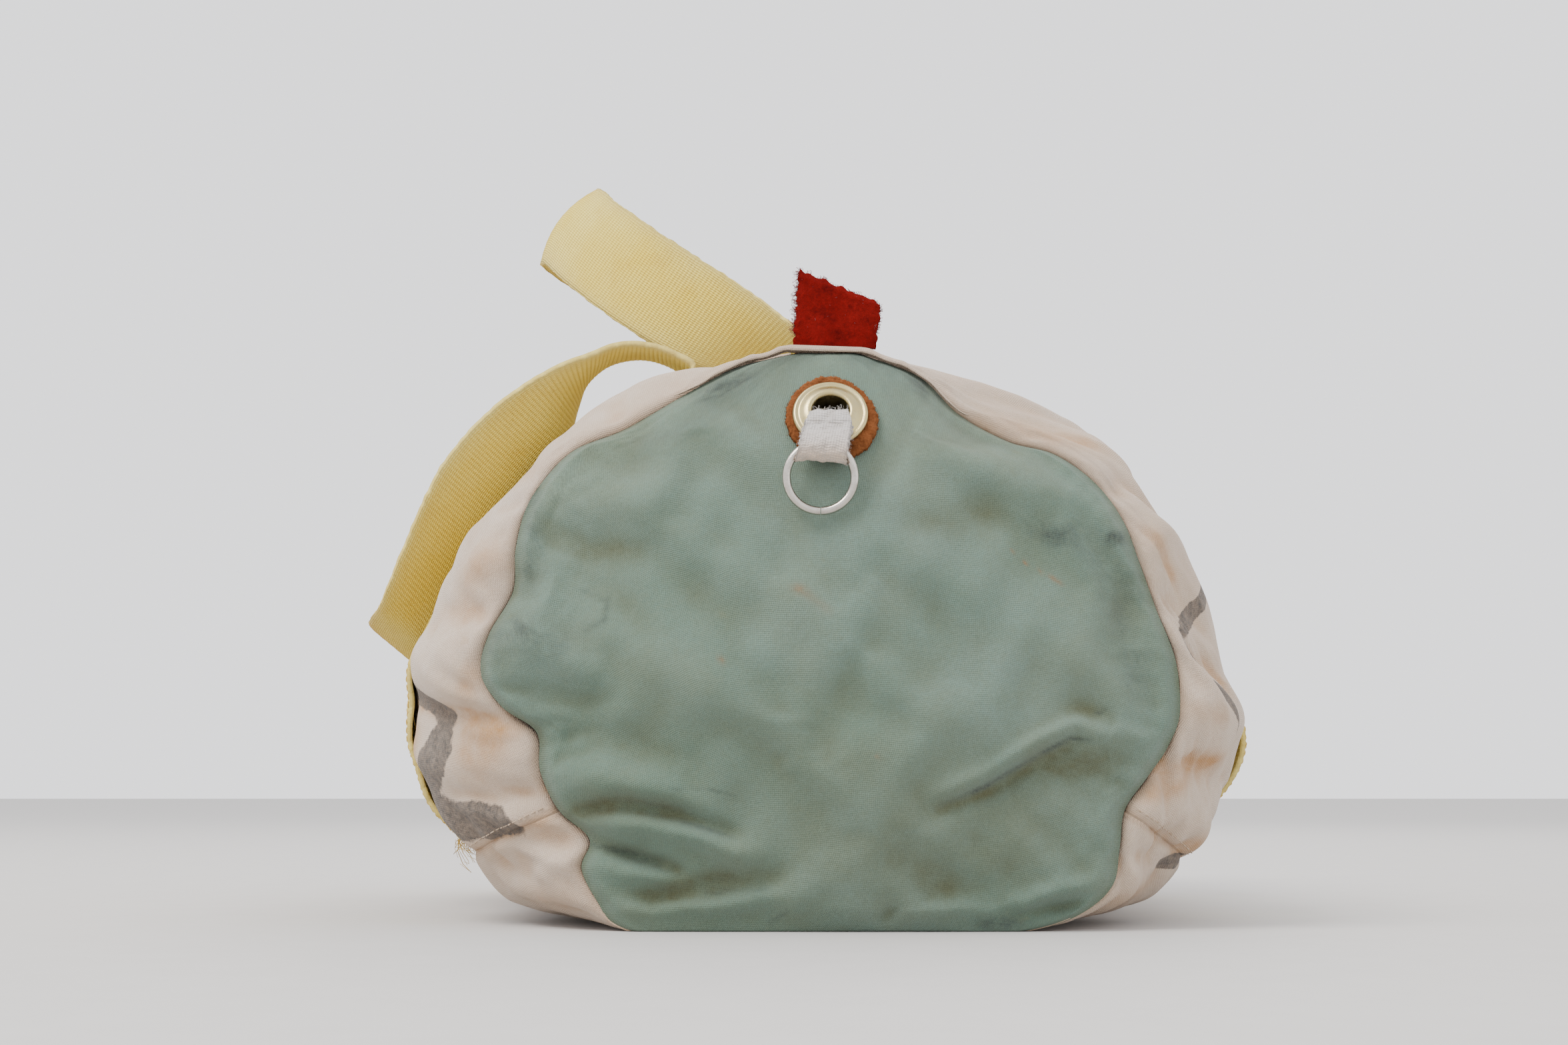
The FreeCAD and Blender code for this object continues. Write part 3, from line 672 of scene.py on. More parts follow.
# Folds in the front panel, as (line, width, height), with places as (x, z).
FRONT_FOLDS = [
    (((41, 47), (62, 55), (81, 66), (96, 74)), 5.0, -4.4),
    (((44, 53), (64, 62), (82, 73), (98, 81), (110, 77)), 4.4, 4.2),
    (((70, 56), (92, 62), (112, 64)), 9.0, -4.2), (((112, 79), (126, 74), (135, 67)), 6.0, 3.4),
    (((114, 61), (121, 48)), 5.0, -2.6), (((-106, 46), (-84, 50), (-60, 46), (-38, 38)), 4.2, -5.2),
    (((-97, 40), (-74, 41), (-50, 36), (-34, 30)), 5.0, 5.0),
    (((-96, 34), (-82, 31), (-67, 27), (-58, 24)), 3.0, -5.6),
    (((-92, 26), (-76, 22), (-60, 19)), 4.4, 3.4),
    (((-72, 14), (-55, 17), (-37, 20), (-16, 23)), 5.5, -3.4),
    (((-84, 8), (-58, 9), (-26, 12)), 4.5, 3.0), (((-112, 62), (-88, 60), (-58, 54)), 7.0, 3.2),
    (((-106, 78), (-84, 73), (-58, 68)), 8.0, -2.8), (((70, 4), (88, 9), (109, 12)), 3.6, -4.2),
    (((74, 10), (92, 16), (112, 20)), 4.5, 3.8), (((28, 5), (52, 9), (66, 5)), 5.0, 3.0),
    (((20, 3), (26, 9)), 2.4, -2.0), (((-134, 118), (-112, 108), (-92, 98)), 8.0, 3.2),
    (((-136, 98), (-112, 92), (-90, 90)), 6.0, -3.2), (((-126, 140), (-100, 136), (-78, 124)), 9.0, -2.4),
    (((-122, 160), (-96, 152), (-70, 150)), 8.0, -2.8), (((-120, 172), (-94, 168), (-66, 172)), 8.0, 2.2),
    (((-104, 192), (-84, 184), (-60, 184)), 8.0, -2.2),
    (((46, 208), (60, 197), (84, 192), (104, 180)), 6.0, -3.2),
    (((40, 188), (66, 182), (92, 171)), 9.0, 2.8), (((36, 160), (56, 164), (78, 160)), 9.0, -1.8),
    (((104, 158), (118, 140), (122, 112)), 8.0, -2.6), (((6, 62), (36, 80), (72, 96)), 15.0, 2.2),
    (((-64, 96), (-30, 104), (4, 96)), 16.0, 2.2), (((78, 122), (104, 104), (122, 100)), 11.0, 2.4),
    (((-70, 208), (-62, 188), (-74, 160)), 9.0, 2.0)]
# Dark smudges with painted shade along creases and under the lifted hem, painted brown shadows, and rust
# marks on the front panel, in the same form.
FRONT_DIRT_AND_SHADE = [
    (((-52, 214), (-40, 219), (-30, 224)), 4.5, 0.8), (((33, 223), (47, 214)), 4.0, 0.75),
    (((-120, 178), (-118, 156), (-121, 136)), 3.6, 0.6),
    (((-136, 110), (-124, 118), (-104, 110)), 7.0, 0.55), (((-126, 122), (-118, 118)), 3.0, 0.6),
    (((-98, 134), (-88, 130), (-89, 122), (-97, 118)), 1.1, 0.5),
    (((80, 162), (90, 156), (99, 157)), 4.5, 0.75), (((111, 158), (119, 154)), 4.0, 0.7),
    (((100, 156), (110, 146), (124, 134)), 7.0, 0.4), (((114, 130), (122, 110), (124, 92)), 7.0, 0.4),
    (((105, 85), (111, 88)), 0.9, 0.9), (((41, 48), (62, 57), (81, 68), (96, 76), (104, 75)), 0.8, 0.9),
    (((-62, 56), (-48, 56), (-37, 53)), 0.8, 0.55), (((-49, 15), (-24, 17)), 0.8, 0.5),
    (((-95, 34), (-81, 31), (-66, 26)), 1.4, 0.8), (((-58, 43), (-38, 37)), 1.1, 0.7),
    (((60, 3), (78, 2)), 3.0, 0.8), (((-24, 3), (-16, 8)), 1.0, 0.5)]
FRONT_SHADE = [
    (((82, 66), (98, 66), (116, 68)), 7.0, 0.9), (((58, 46), (80, 52), (104, 52)), 9.0, 0.45),
    (((-104, 46), (-84, 50), (-60, 47)), 5.0, 0.9), (((-70, 15), (-54, 18), (-37, 20)), 4.5, 0.9),
    (((-86, 77), (-60, 70)), 7.0, 0.4), (((-105, 151), (-74, 148)), 6.0, 0.45),
    (((36, 160), (66, 164)), 8.0, 0.5), (((-30, 66), (20, 60), (60, 36)), 14.0, 0.3),
    (((-10, 30), (40, 24), (90, 30)), 12.0, 0.4)]
FRONT_RUST = [
    (((88, 140), (93, 137)), 0.9, 1.0), (((73, 150), (74, 149)), 0.8, 0.8),
    (((78, 146), (79, 145)), 0.7, 0.8), (((84, 143), (85, 141)), 0.8, 0.6),
    (((-14, 134), (-10, 133)), 2.0, 0.6), (((-10, 133), (-4, 128), (0, 125)), 2.0, 0.25),
    (((-43, 107), (-42, 105)), 1.5, 0.5), (((18, 69), (19, 68)), 0.8, 0.5)]


def end_shape(rows, columns, rear):
    """An end panel's outside: its grid in mm, the places across it (x, turned round on the rear one) and each
    point's distance from the edge.
    """
    steps = [(0, 1), (0.1, 2), (0.2, 3), (0.42, 5), (0.68, 7.4), (0.86, 9), (1, 10)]
    index = follow(steps, np.linspace(0, 1, rows))[:, 0]
    across = eased(columns)
    lx, lz = end_outline(-index, rear)
    rx, rz = end_outline(index, rear)
    share = (across[None, :] + 1) / 2
    x = lx[:, None] * (1 - share) + rx[:, None] * share
    z = lz[:, None] * (1 - share) + rz[:, None] * share
    edge = np.minimum.reduce([x - lx[:, None], rx[:, None] - x, (END_HEIGHT - z) * 1.3 + 1.5])
    rise = np.clip(np.abs(2 * z / END_HEIGHT - 1), 0, 1)
    swell = END_BULGE * (1 - np.abs(across[None, :]) ** 2.2) * (1 - rise**2.5)
    p, seed = (-x, 40) if rear else (x, 20)
    around = np.arctan2(z - 110, x) * 130
    gathers = 1.1 * waves(around, edge * 0.2, 30, seed) + 0.5 * waves(around, edge * 0.3, 13, seed + 1)
    pucker = np.exp(-edge / 18) * (1 - np.exp(-edge / 3)) * gathers
    soft = 1.7 * waves(x, z, 74, seed + 2) + 0.7 * waves(x, z, 34, seed + 3)
    shift = (6, 14) if rear else (0, 0)
    folds = strokes(p, z, FRONT_FOLDS, shift)
    relief = (1 - bell(edge, 9)) * (soft + folds) + pucker
    around_grommet = np.exp(-((((x - GROMMET_X) ** 2 + (z - GROMMET_Z) ** 2) / 27**2) ** 2))
    relief = relief * (1 - around_grommet) * np.clip(z / 9, 0, 1) - 2.4 * bell(edge, 3.2)
    level = (lz[:, None] + rz[:, None]) / 2
    grid = np.stack([x, -seam_y(level) - CLOTH - swell - relief, z], -1)
    out = normals_of(grid)
    out *= np.sign(-out[..., 1:2])
    held = np.maximum.reduce([bell(edge, 4, 4), bell(z, 6, 4), around_grommet])
    grid = buckled(grid, out, held, 4.5, 0.04, 0.006, 3.0)
    if rear:
        grid, out = grid * [1, -1, 1], out * [1, -1, 1]
    return grid, p, edge


def end_panel(name, node, rear, rows, columns):
    """An end panel's canvas, with its stains and painted shade, and with a hole for the grommet if it is the
    front one.
    """
    grid, p, edge = end_shape(rows, columns, rear)
    out = normals_of(grid)
    out *= np.sign(out[..., 1:2]) * (1 if rear else -1)
    z = grid[..., 2]
    shift = (14, -20) if rear else (0, 0)
    # Painted shade in the bottoms of folds and along the seam, with the painted brown shadow strokes.
    low = 0.8 * hollows(grid, out, rows // 6, 1.5) + 0.55 * bell(edge, 2.5)
    low += strokes(p, z, FRONT_SHADE, shift)
    attributes = {"hollow": np.clip(low, 0, 1), "dirt_and_shade": np.clip(strokes(p, z, FRONT_DIRT_AND_SHADE, shift), 0, 1),
                  "rust": np.clip(strokes(p, z, FRONT_RUST, shift), 0, 1)}
    keep = None
    if not rear:
        reach = np.hypot(grid[..., 0] - GROMMET_X, (z - GROMMET_Z) / 0.9)[:-1, :-1]
        keep = reach > 10.4
    panel = add_sheet(name, grid, out, CLOTH * 0.8, TEAL, attributes, keep)
    return settle(panel, "bag", "teal_canvas", node)


end_panel("front_end_canvas", "front_end_panel", False, 200, 230)
end_panel("rear_end_canvas", "rear_end_panel", True, 120, 140)

# ---------------------------------------------------------------- body shell

# Puckers beside the front seam, as (line, width, height), with places as (mm out from the seam, height).
LEFT_PUCKERS = [
    (((2, 84), (30, 84), (66, 94)), 6.0, -4.6), (((4, 66), (32, 66), (70, 70)), 9.0, 4.6),
    (((4, 104), (34, 108), (70, 112)), 12.0, 4.2), (((4, 56), (24, 52), (52, 54)), 5.0, -3.6),
    (((2, 128), (22, 126), (50, 130)), 6.0, -3.4), (((4, 28), (30, 24)), 6.0, 2.6),
    (((2, 148), (24, 146)), 8.0, 3.0), (((2, 172), (22, 170)), 5.0, -2.4),
    (((4, 36), (26, 38)), 4.0, -2.4)]
RIGHT_PUCKERS = [
    (((2, 68), (28, 62), (64, 54)), 7.0, -4.8), (((4, 90), (30, 88), (66, 84)), 10.0, 4.0),
    (((2, 128), (18, 132), (44, 120)), 7.0, -3.4), (((2, 150), (20, 160), (46, 158)), 8.0, 3.2),
    (((2, 48), (30, 44), (60, 38)), 8.0, 4.2), (((2, 176), (22, 180)), 6.0, -2.6),
    (((4, 30), (26, 26)), 5.0, -2.8), (((4, 110), (20, 108), (50, 104)), 6.0, -2.2)]
# Worn grey paint on the sides, in the same form: loose bars and blocks that spell nothing.
LEFT_PAINT = [
    (((88, 102), (30, 86)), 6.0, 1.0), (((34, 80), (82, 52)), 8.0, 1.0),
    (((19, 42), (70, 44)), 10.0, 1.0), (((140, 160), (140, 84)), 9.0, 1.0),
    (((182, 84), (262, 84)), 9.0, 1.0), (((300, 150), (338, 92)), 8.0, 1.0)]
RIGHT_PAINT = [
    (((62, 142), (10, 118)), 4.6, 1.0), (((9, 112), (52, 76)), 5.0, 1.0),
    (((60, 30), (34, 24)), 4.0, 0.9), (((130, 90), (210, 90)), 9.0, 1.0),
    (((250, 150), (250, 80)), 9.0, 1.0), (((292, 84), (340, 120)), 8.0, 1.0)]
# Brown stains on the sides, partly painted shade in the hollows beside the seam, in the same form.
LEFT_STAINS_AND_SHADE = [
    (((14, 84), (34, 62)), 9.0, 1.0), (((4, 80), (30, 86), (66, 92)), 4.0, 0.8),
    (((66, 86), (76, 64)), 7.0, 0.9), (((6, 152), (30, 138)), 8.0, 0.7), (((3, 106), (10, 92)), 4.0, 0.6),
    (((4, 42), (14, 38)), 4.0, 0.6), (((10, 14), (50, 10)), 5.0, 0.4), (((8, 186), (30, 182)), 6.0, 0.4)]
RIGHT_STAINS_AND_SHADE = [
    (((2, 61), (26, 66), (54, 65)), 5.0, 1.0), (((2, 54), (24, 57)), 4.0, 0.8),
    (((40, 32), (60, 38)), 5.0, 0.9), (((6, 202), (32, 198)), 7.0, 0.8),
    (((10, 158), (22, 140)), 4.0, 0.9), (((34, 110), (46, 96)), 4.0, 0.8),
    (((6, 12), (40, 14)), 5.0, 0.5), (((4, 88), (22, 84)), 4.0, 0.4)]
SHELL_ROWS = 441
SHELL_COLUMNS = 250
STRAP_EDGES = {"left": (103, 149), "right": (57, 103)}
STRAP_END = 9.02


def shell():
    """The whole canvas body from zip edge to zip edge: its grid, outward directions and attributes."""
    t = np.linspace(-ZIP_INDEX, ZIP_INDEX, SHELL_ROWS)
    t, s = np.meshgrid(t, eased(SHELL_COLUMNS), indexing="ij")
    grid = body_point(t, s)
    centre = np.array([0, 0, 100.0])
    out = normals_of(grid)
    out *= np.sign((out * (grid - centre)).sum(-1, keepdims=True))
    steps = np.linalg.norm(np.diff(grid, axis=1), axis=-1)
    run = np.concatenate([np.zeros((SHELL_ROWS, 1)), np.cumsum(steps, 1)], 1)
    front, back = run, run[:, -1:] - run
    reach = np.minimum(front, back)
    climbs = np.linalg.norm(np.diff(grid, axis=0), axis=-1)
    height = np.concatenate([np.zeros((1, SHELL_COLUMNS)), np.cumsum(climbs, 0)], 0)
    seams = [height[np.argmin(np.abs(t[:, 0] - at))][None, :] for at in (-LOWER_SEAM, LOWER_SEAM)]
    from_seam = np.minimum(np.abs(height - seams[0]), np.abs(height - seams[1]))
    from_zip = np.minimum(height, height[-1:] - height)
    flank = np.clip((np.abs(t) - 0.95) / 1.2, 0, 1)
    ends = np.exp(-reach / 34) * (1 - np.exp(-reach / 4))
    y, z = grid[..., 1], grid[..., 2]
    calm = 1 - 0.7 * np.clip((z - 110) / 60, 0, 1)
    gathers = 2.0 * waves(height, reach * 0.2, 34, 61) + 0.9 * waves(height, reach * 0.3, 15, 62)
    pucker = ends * calm * gathers

    def by_side(reach_in, left, right):
        return np.where(t < 0, strokes(reach_in, z, left), strokes(reach_in, z, right))

    side = by_side(front, LEFT_PUCKERS, RIGHT_PUCKERS)
    rear = by_side(back, RIGHT_PUCKERS, LEFT_PUCKERS)
    clouds = 2.4 * waves(y, height, 95, 63) + 1.0 * waves(y, height, 40, 64)
    soft = (1 - bell(reach, 20)) * clouds
    beside_seam = np.exp(-from_seam / 13) * (1 - np.exp(-from_seam / 2))
    seam_pull = beside_seam * 1.4 * waves(y, from_seam * 0.4, 17, 65)
    collar = np.where(t < 0, 1.2, 3.4) * bell(np.abs(y) - 171, 15)
    collar = collar * bell(np.abs(t) - 8, 1.9, 4)
    waist = -2.4 * bell(np.abs(y) - 148, 26, 4) * bell(t - 4.9, 1.5, 4)
    sewn = np.where(t < 0, (np.abs(y) > 100) & (np.abs(y) < 152), (np.abs(y) > 54) & (np.abs(y) < 106))
    crush = blurred(-1.8 * sewn * (np.abs(t) > LOWER_SEAM), 6)
    relief = (pucker + side + rear + soft + seam_pull + crush) * flank + collar
    relief = (relief + waist) * (1 - bell(from_zip, 20))
    relief -= (2.2 * bell(reach, 3.4) + 1.3 * bell(from_seam, 2.2)) * flank
    grid = grid + out * relief[..., None]
    held = np.maximum.reduce([bell(reach, 5, 4), 1 - flank, bell(from_zip, 14, 4),
                              0.6 * bell(from_seam, 5)])
    grid = buckled(grid, out, held, 7.0, 0.04, 0.008, 3.0)
    grid[..., 2] = np.maximum(grid[..., 2], 0)
    out = normals_of(grid)
    out *= np.sign((out * (grid - centre)).sum(-1, keepdims=True))
    # Painted shade in fold bottoms and along the seams, with the stains and painted shade of the side tables.
    hollow = 0.8 * hollows(grid, out, 34, 2.0) + 0.4 * bell(reach, 3)
    hollow += 0.45 * bell(from_seam, 2.5)
    hollow += by_side(front, LEFT_STAINS_AND_SHADE, RIGHT_STAINS_AND_SHADE) + by_side(back, RIGHT_STAINS_AND_SHADE, LEFT_STAINS_AND_SHADE)
    paint = by_side(front, LEFT_PAINT, RIGHT_PAINT)
    # Darker towards the bottom and beside the zip.
    dirt_and_shade = 0.25 * bell(z, 14) * flank + 0.2 * bell(from_zip, 9)
    marks = {"hollow": np.clip(hollow, 0, 1), "paint": np.clip(paint, 0, 1), "dirt_and_shade": dirt_and_shade,
             "rust": np.zeros_like(dirt_and_shade)}
    return grid, out, marks


SHELL, SHELL_OUT, SHELL_MARKS = shell()
BODY = Patch(SHELL, SHELL_OUT)


def shell_row(t):
    return (np.asarray(t, float) + ZIP_INDEX) / (2 * ZIP_INDEX)


def shell_column(t, y):
    """The shell's column (0 to 1) at a place y mm along the bag."""
    most = math.pi / 2 * SEAM_EASE
    s = np.clip(y / seam_y(end_outline(t, False)[1]), -1, 1)
    return (np.arcsin(s * math.sin(most)) / most + 1) / 2


def shell_piece(name, low, high, *nodes):
    """The part of the shell between two outline indexes."""
    first, last = (int(round(shell_row(t) * (SHELL_ROWS - 1))) for t in (low, high))
    rows = slice(first, last + 1)
    marks = {k: v[rows] for k, v in SHELL_MARKS.items()}
    piece = add_sheet(name, SHELL[rows], SHELL_OUT[rows], CLOTH * 0.8, CREAM, marks)
    return settle(piece, "bag", "cream_canvas", *nodes)


shell_piece("left_side_canvas", -ZIP_INDEX, -LOWER_SEAM, "left_side_panel")
shell_piece("bottom_canvas", -LOWER_SEAM, LOWER_SEAM,
            "bottom_panel", "left_bottom_flank", "right_bottom_flank")
shell_piece("right_side_canvas", LOWER_SEAM, ZIP_INDEX, "right_side_panel")


def seam_stitches():
    """Lockstitch along each lower seam, and beside the zip."""
    lines = []
    columns = np.linspace(0.004, 0.996, 900)
    for t in (-LOWER_SEAM - 0.13, LOWER_SEAM + 0.13, -9.86, 9.86):
        lines.append(BODY.at(shell_row(np.full(900, t)), columns, 0.1))
    settle(add_stitches("seam_stitches", lines, CREAM_THREAD, 2.4, 0.8, 0.26), "bag", "cream_canvas")


seam_stitches()


def top_edge(end, name):
    """The body canvas turned over the end panel's top edge, in one soft roll across the zip's end."""
    index = np.concatenate([np.linspace(-8.9, -10, 60), np.linspace(10, 8.9, 60)])
    x, z = end_outline(index, end > 0)
    order = np.argsort(x)
    x, z = x[order], blurred(z[order][:, None], 40)[:, 0]
    fade = np.clip(np.minimum(x - x[0], x[-1] - x) / 26, 0, 1)
    y = end * (seam_y(z) + 0.4)
    angle = np.linspace(-0.62 * math.pi, 0.62 * math.pi, 15)
    radius = 0.3 + (1.6 + 0.25 * waves(x, z, 9, 58)) * fade
    roll = z + 0.9 + 0.3 * waves(x, z, 14, 57) + 1.6 * bell(x + 5, 20)
    zeros = np.zeros((len(x), len(angle)))
    grid = np.stack([x[:, None] + zeros, y[:, None] + end * 1.5 * radius[:, None] * np.sin(angle),
                     roll[:, None] + radius[:, None] * np.cos(angle)], -1)
    out = np.stack([zeros, end * np.sin(angle) + zeros, np.cos(angle) + zeros], -1)
    marks = {"hollow": zeros + 0.1, "paint": zeros, "dirt_and_shade": zeros + 0.15, "rust": zeros}
    settle(add_sheet(name, grid, out, 0.5, CREAM, marks), "bag", "cream_canvas")


top_edge(-1, "front_top_edge")
top_edge(1, "rear_top_edge")

# ---------------------------------------------------------------- webbing straps and handles

RIB = 2.1               # from one cross rib to the next
STITCH_LIFT = 0.18


def ribbed(centre, across, out, name, crown=0.2, curl=0.0, hanging_shade=0.0):
    """Webbing along a centre line: arrays of centres, across and outward directions, one row each.
    Half way along, its edges curl up by 'curl' mm, and painted shade darkens its middle by a share from 0 to
    1."""
    run = run_along(centre)
    count = int(run[-1] / RIB * 4)
    at = np.linspace(0, run[-1], count)
    rows = [follow(np.column_stack([run, a]), at) for a in (centre, across, out)]
    v = np.linspace(-1, 1, 19)
    edge = np.abs(v) ** 8
    rib = np.cos(math.tau * at / RIB)[:, None] * 0.17 * (1 - edge[None, :])
    yarn = 0.05 * np.cos(v * math.pi * 9)[None, :]
    fray = 0.25 * waves(at[:, None], v[None, :] * 3, 7, 91) * edge[None, :]
    sideways = v[None, :, None] * WEBBING_HALF + (np.sign(v) * fray)[..., None]
    grid = rows[0][:, None] + rows[1][:, None] * sideways
    halfway = at - run[-1] / 2
    bent = crown - curl * bell(halfway, 48)
    lift = WEBBING_THICK / 2 + rib + yarn - 0.25 * edge[None, :] + bent[:, None] * (1 - v[None, :] ** 2)
    face = grid + rows[2][:, None] * lift[..., None]
    out_grid = np.repeat(rows[2][:, None], len(v), 1)
    # Painted shade on the hanging middle, where the webbing turns downward.
    hang_shade_share = hanging_shade * bell(halfway, 72)
    # The groove mark is painted shade in the troughs between the ribs.
    marks = {"edge": np.broadcast_to(np.abs(v) ** 5, rib.shape), "groove_shade": np.clip(-rib / 0.17, 0, 1),
             "hanging_shade": np.broadcast_to(hang_shade_share[:, None], rib.shape)}
    piece = add_sheet(name, face, out_grid, WEBBING_THICK * 0.9, WEBBING, marks)
    return piece, Patch(face, out_grid)


def strap(side, end):
    """A sewn length of webbing on the shell, from the lower seam up to the handle's root."""
    near, far = STRAP_EDGES["left" if side < 0 else "right"]
    t = np.linspace(LOWER_SEAM + 0.3, STRAP_END, 60) * side
    middle = (near + far) / 2 * end
    rows = []
    for y in (middle - WEBBING_HALF * end, middle, middle + WEBBING_HALF * end):
        rows.append(BODY.at(shell_row(t), shell_column(t, y))[0])
    _, out = BODY.at(shell_row(t), shell_column(t, middle))
    centre = (rows[0] + 2 * rows[1] + rows[2]) / 4
    across = unit(rows[2] - rows[0])
    out = unit(out - across * (out * across).sum(-1, keepdims=True))
    slack = 8.4 * bell(t - 4.9, 1.25) + 1.6 * bell(t + 4.4, 1.0)
    lift = 1.5 + 0.9 * np.clip((np.abs(t) - 8.4) / 0.6, 0, 1) ** 1.5 + slack
    return centre + out * lift[:, None], across, out


def crossed_box(patch, low, high):
    """A box of stitches with a cross in it, between two rows of a strap."""
    a, b = 0.14, 0.86
    sides = (((low, low), (a, b)), ((high, high), (a, b)), ((low, high), (a, a)), ((low, high), (b, b)),
             ((low, high), (a, b)), ((low, high), (b, a)))
    return [(p + o * STITCH_LIFT, o) for p, o in (patch.line(*side) for side in sides)]


for side, side_name in ((-1, "left"), (1, "right")):
    for end, end_name in ((-1, "front"), (1, "rear")):
        name = f"{side_name}_{end_name}_webbing"
        piece, patch = ribbed(*strap(side, end), name)
        settle(piece, "bag", "yellow_webbing", f"{side_name}_{end_name}_strap")
        rows = crossed_box(patch, 0.02, 0.17) + crossed_box(patch, 0.78, 0.95)
        rows += [patch.line((0.17, 0.78), (c, c), STITCH_LIFT) for c in (0.08, 0.92)]
        stitches = add_stitches(name + "_stitches", rows, YELLOW_THREAD, 3.0, 0.7, 0.34)
        settle(stitches, "bag", "yellow_webbing")


def strap_top(side, end):
    """The two corners of a strap's top end, where its handle carries on."""
    centre, across, _ = strap(side, end)
    return [centre[-1] + across[-1] * WEBBING_HALF, centre[-1] - across[-1] * WEBBING_HALF]


def handle(name, side, front, rear, curl, hanging_shade):
    """A handle's webbing, from one strap's top to the other's, bending at its two roots."""
    pairs = np.array([strap_top(side, -1)] + front + rear[::-1] + [strap_top(side, 1)], float)
    centre = pairs.mean(1)
    across = unit(pairs[:, 1] - pairs[:, 0])
    along = np.gradient(centre, axis=0)
    out = unit(np.cross(along, across))
    if out[0, 2] < 0:
        out = -out
    piece, _ = ribbed(centre, across, out, name + "_webbing", 0.7, curl, hanging_shade)
    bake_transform(piece)
    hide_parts(name)


def mirrored(pairs):
    """A front half's pairs as a rear half's, without the middle one."""
    return [tuple((x, -y, z) for x, y, z in pair) for pair in pairs[:-1]]


# The last number is how much painted shade falls on each handle's hanging middle.
handle("left_handle", -1, LEFT_HANDLE, mirrored(LEFT_HANDLE), 0.6, 0.9)
handle("right_handle", 1, RIGHT_HANDLE, RIGHT_HANDLE_REAR, 6.4, 0.12)


def loose_threads():
    """Frayed webbing ends at the lower seams, worst at the left front strap."""
    r = np.random.default_rng(12)
    roots, tips = [], []
    for side, end, count, long in ((-1, -1, 34, 13), (1, -1, 14, 6), (-1, 1, 12, 6), (1, 1, 14, 8)):
        near, far = STRAP_EDGES["left" if side < 0 else "right"]
        y = r.uniform(near, far, count) * end
        t = np.full(count, side * (LOWER_SEAM + 0.34))
        place, out = BODY.at(shell_row(t), shell_column(t, y), 0.9)
        below, _ = BODY.at(shell_row(t - side * 0.4), shell_column(t, y), 0.9)
        away = unit(below - place) + out * r.uniform(0.05, 0.5, (count, 1)) + r.normal(0, 0.28, (count, 3))
        roots.append(place)
        tips.append(place + unit(away) * r.uniform(0.35, 1.0, (count, 1)) * long)
    roots, tips = np.concatenate(roots), np.concatenate(tips)
    settle(add_fibres("loose_threads", roots, tips, YELLOW_THREAD, 0.2, 0.3), "bag", "yellow_webbing")


loose_threads()

# ---------------------------------------------------------------- suede tabs

def tab(end, end_name):
    """A standing suede tab, cut by hand: slightly curved, with soft edges and loose fibres."""
    corners = np.array([[(-13.8, 236.8), (20.4, 236.8)], [(-11.4, 270.2), (22.4, 255.6)]])
    v, u = np.meshgrid(np.linspace(0, 1, 60), np.linspace(0, 1, 60), indexing="ij")
    flat = ((corners[0, 0] * (1 - u[..., None]) + corners[0, 1] * u[..., None]) * (1 - v[..., None])
            + (corners[1, 0] * (1 - u[..., None]) + corners[1, 1] * u[..., None]) * v[..., None])
    rim = np.minimum.reduce([u, 1 - u, (1 - v)])
    x = flat[..., 0] + 0.45 * waves(flat[..., 1], u * 5, 5, 31) * np.exp(-rim * 14)
    z = flat[..., 1] + 0.45 * waves(flat[..., 0], v * 5, 5, 32) * np.exp(-rim * 14) * np.clip(v * 4, 0, 1)
    bow = 0.7 * np.sin(math.pi * u) * v + 0.5 * waves(x, z, 17, 33) * np.clip(v * 3, 0, 1)
    soft = 0.8 * np.exp(-((rim * 22) ** 2))
    grid = np.stack([x, end * (TAB_FACE_Y - 1.4 - bow * 0.6) * np.ones_like(x), z], -1)
    out = facing(grid, 1, end)
    face = grid + out * (0.3 - soft)[..., None]
    piece = add_sheet(f"{end_name}_suede_tab", face, out, 2.2, RED)
    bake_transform(piece)
    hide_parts(f"{end_name}_tab")
    r = np.random.default_rng(44)
    roots, tips = [], []
    for _ in range(560):
        place = r.uniform(0, 1)
        pick = r.choice(4, p=(0.52, 0.20, 0.18, 0.10))
        along, inside = int(place * 59), int(r.uniform(0, 59))
        row, column = ((along, 0), (along, 59), (59, along), (along, inside))[pick]
        away = np.array([(-1, 0, 0.1), (1, 0, 0.1), (0, 0, 1), (0, end, 0.2)][pick], float)
        root = face[row, column] - out[row, column] * r.uniform(0.2, 1.8)
        if root[2] < 242:
            continue
        roots.append(root)
        tips.append(root + unit(away + r.normal(0, 0.6, 3)) * r.uniform(0.5, 2.6 if pick == 0 else 1.5))
    fuzz = add_fibres(f"{end_name}_tab_fuzz", np.array(roots), np.array(tips), RED_THREAD, 0.11, 0.3, 9)
    settle(fuzz, f"tab_{end_name}", "red_suede")


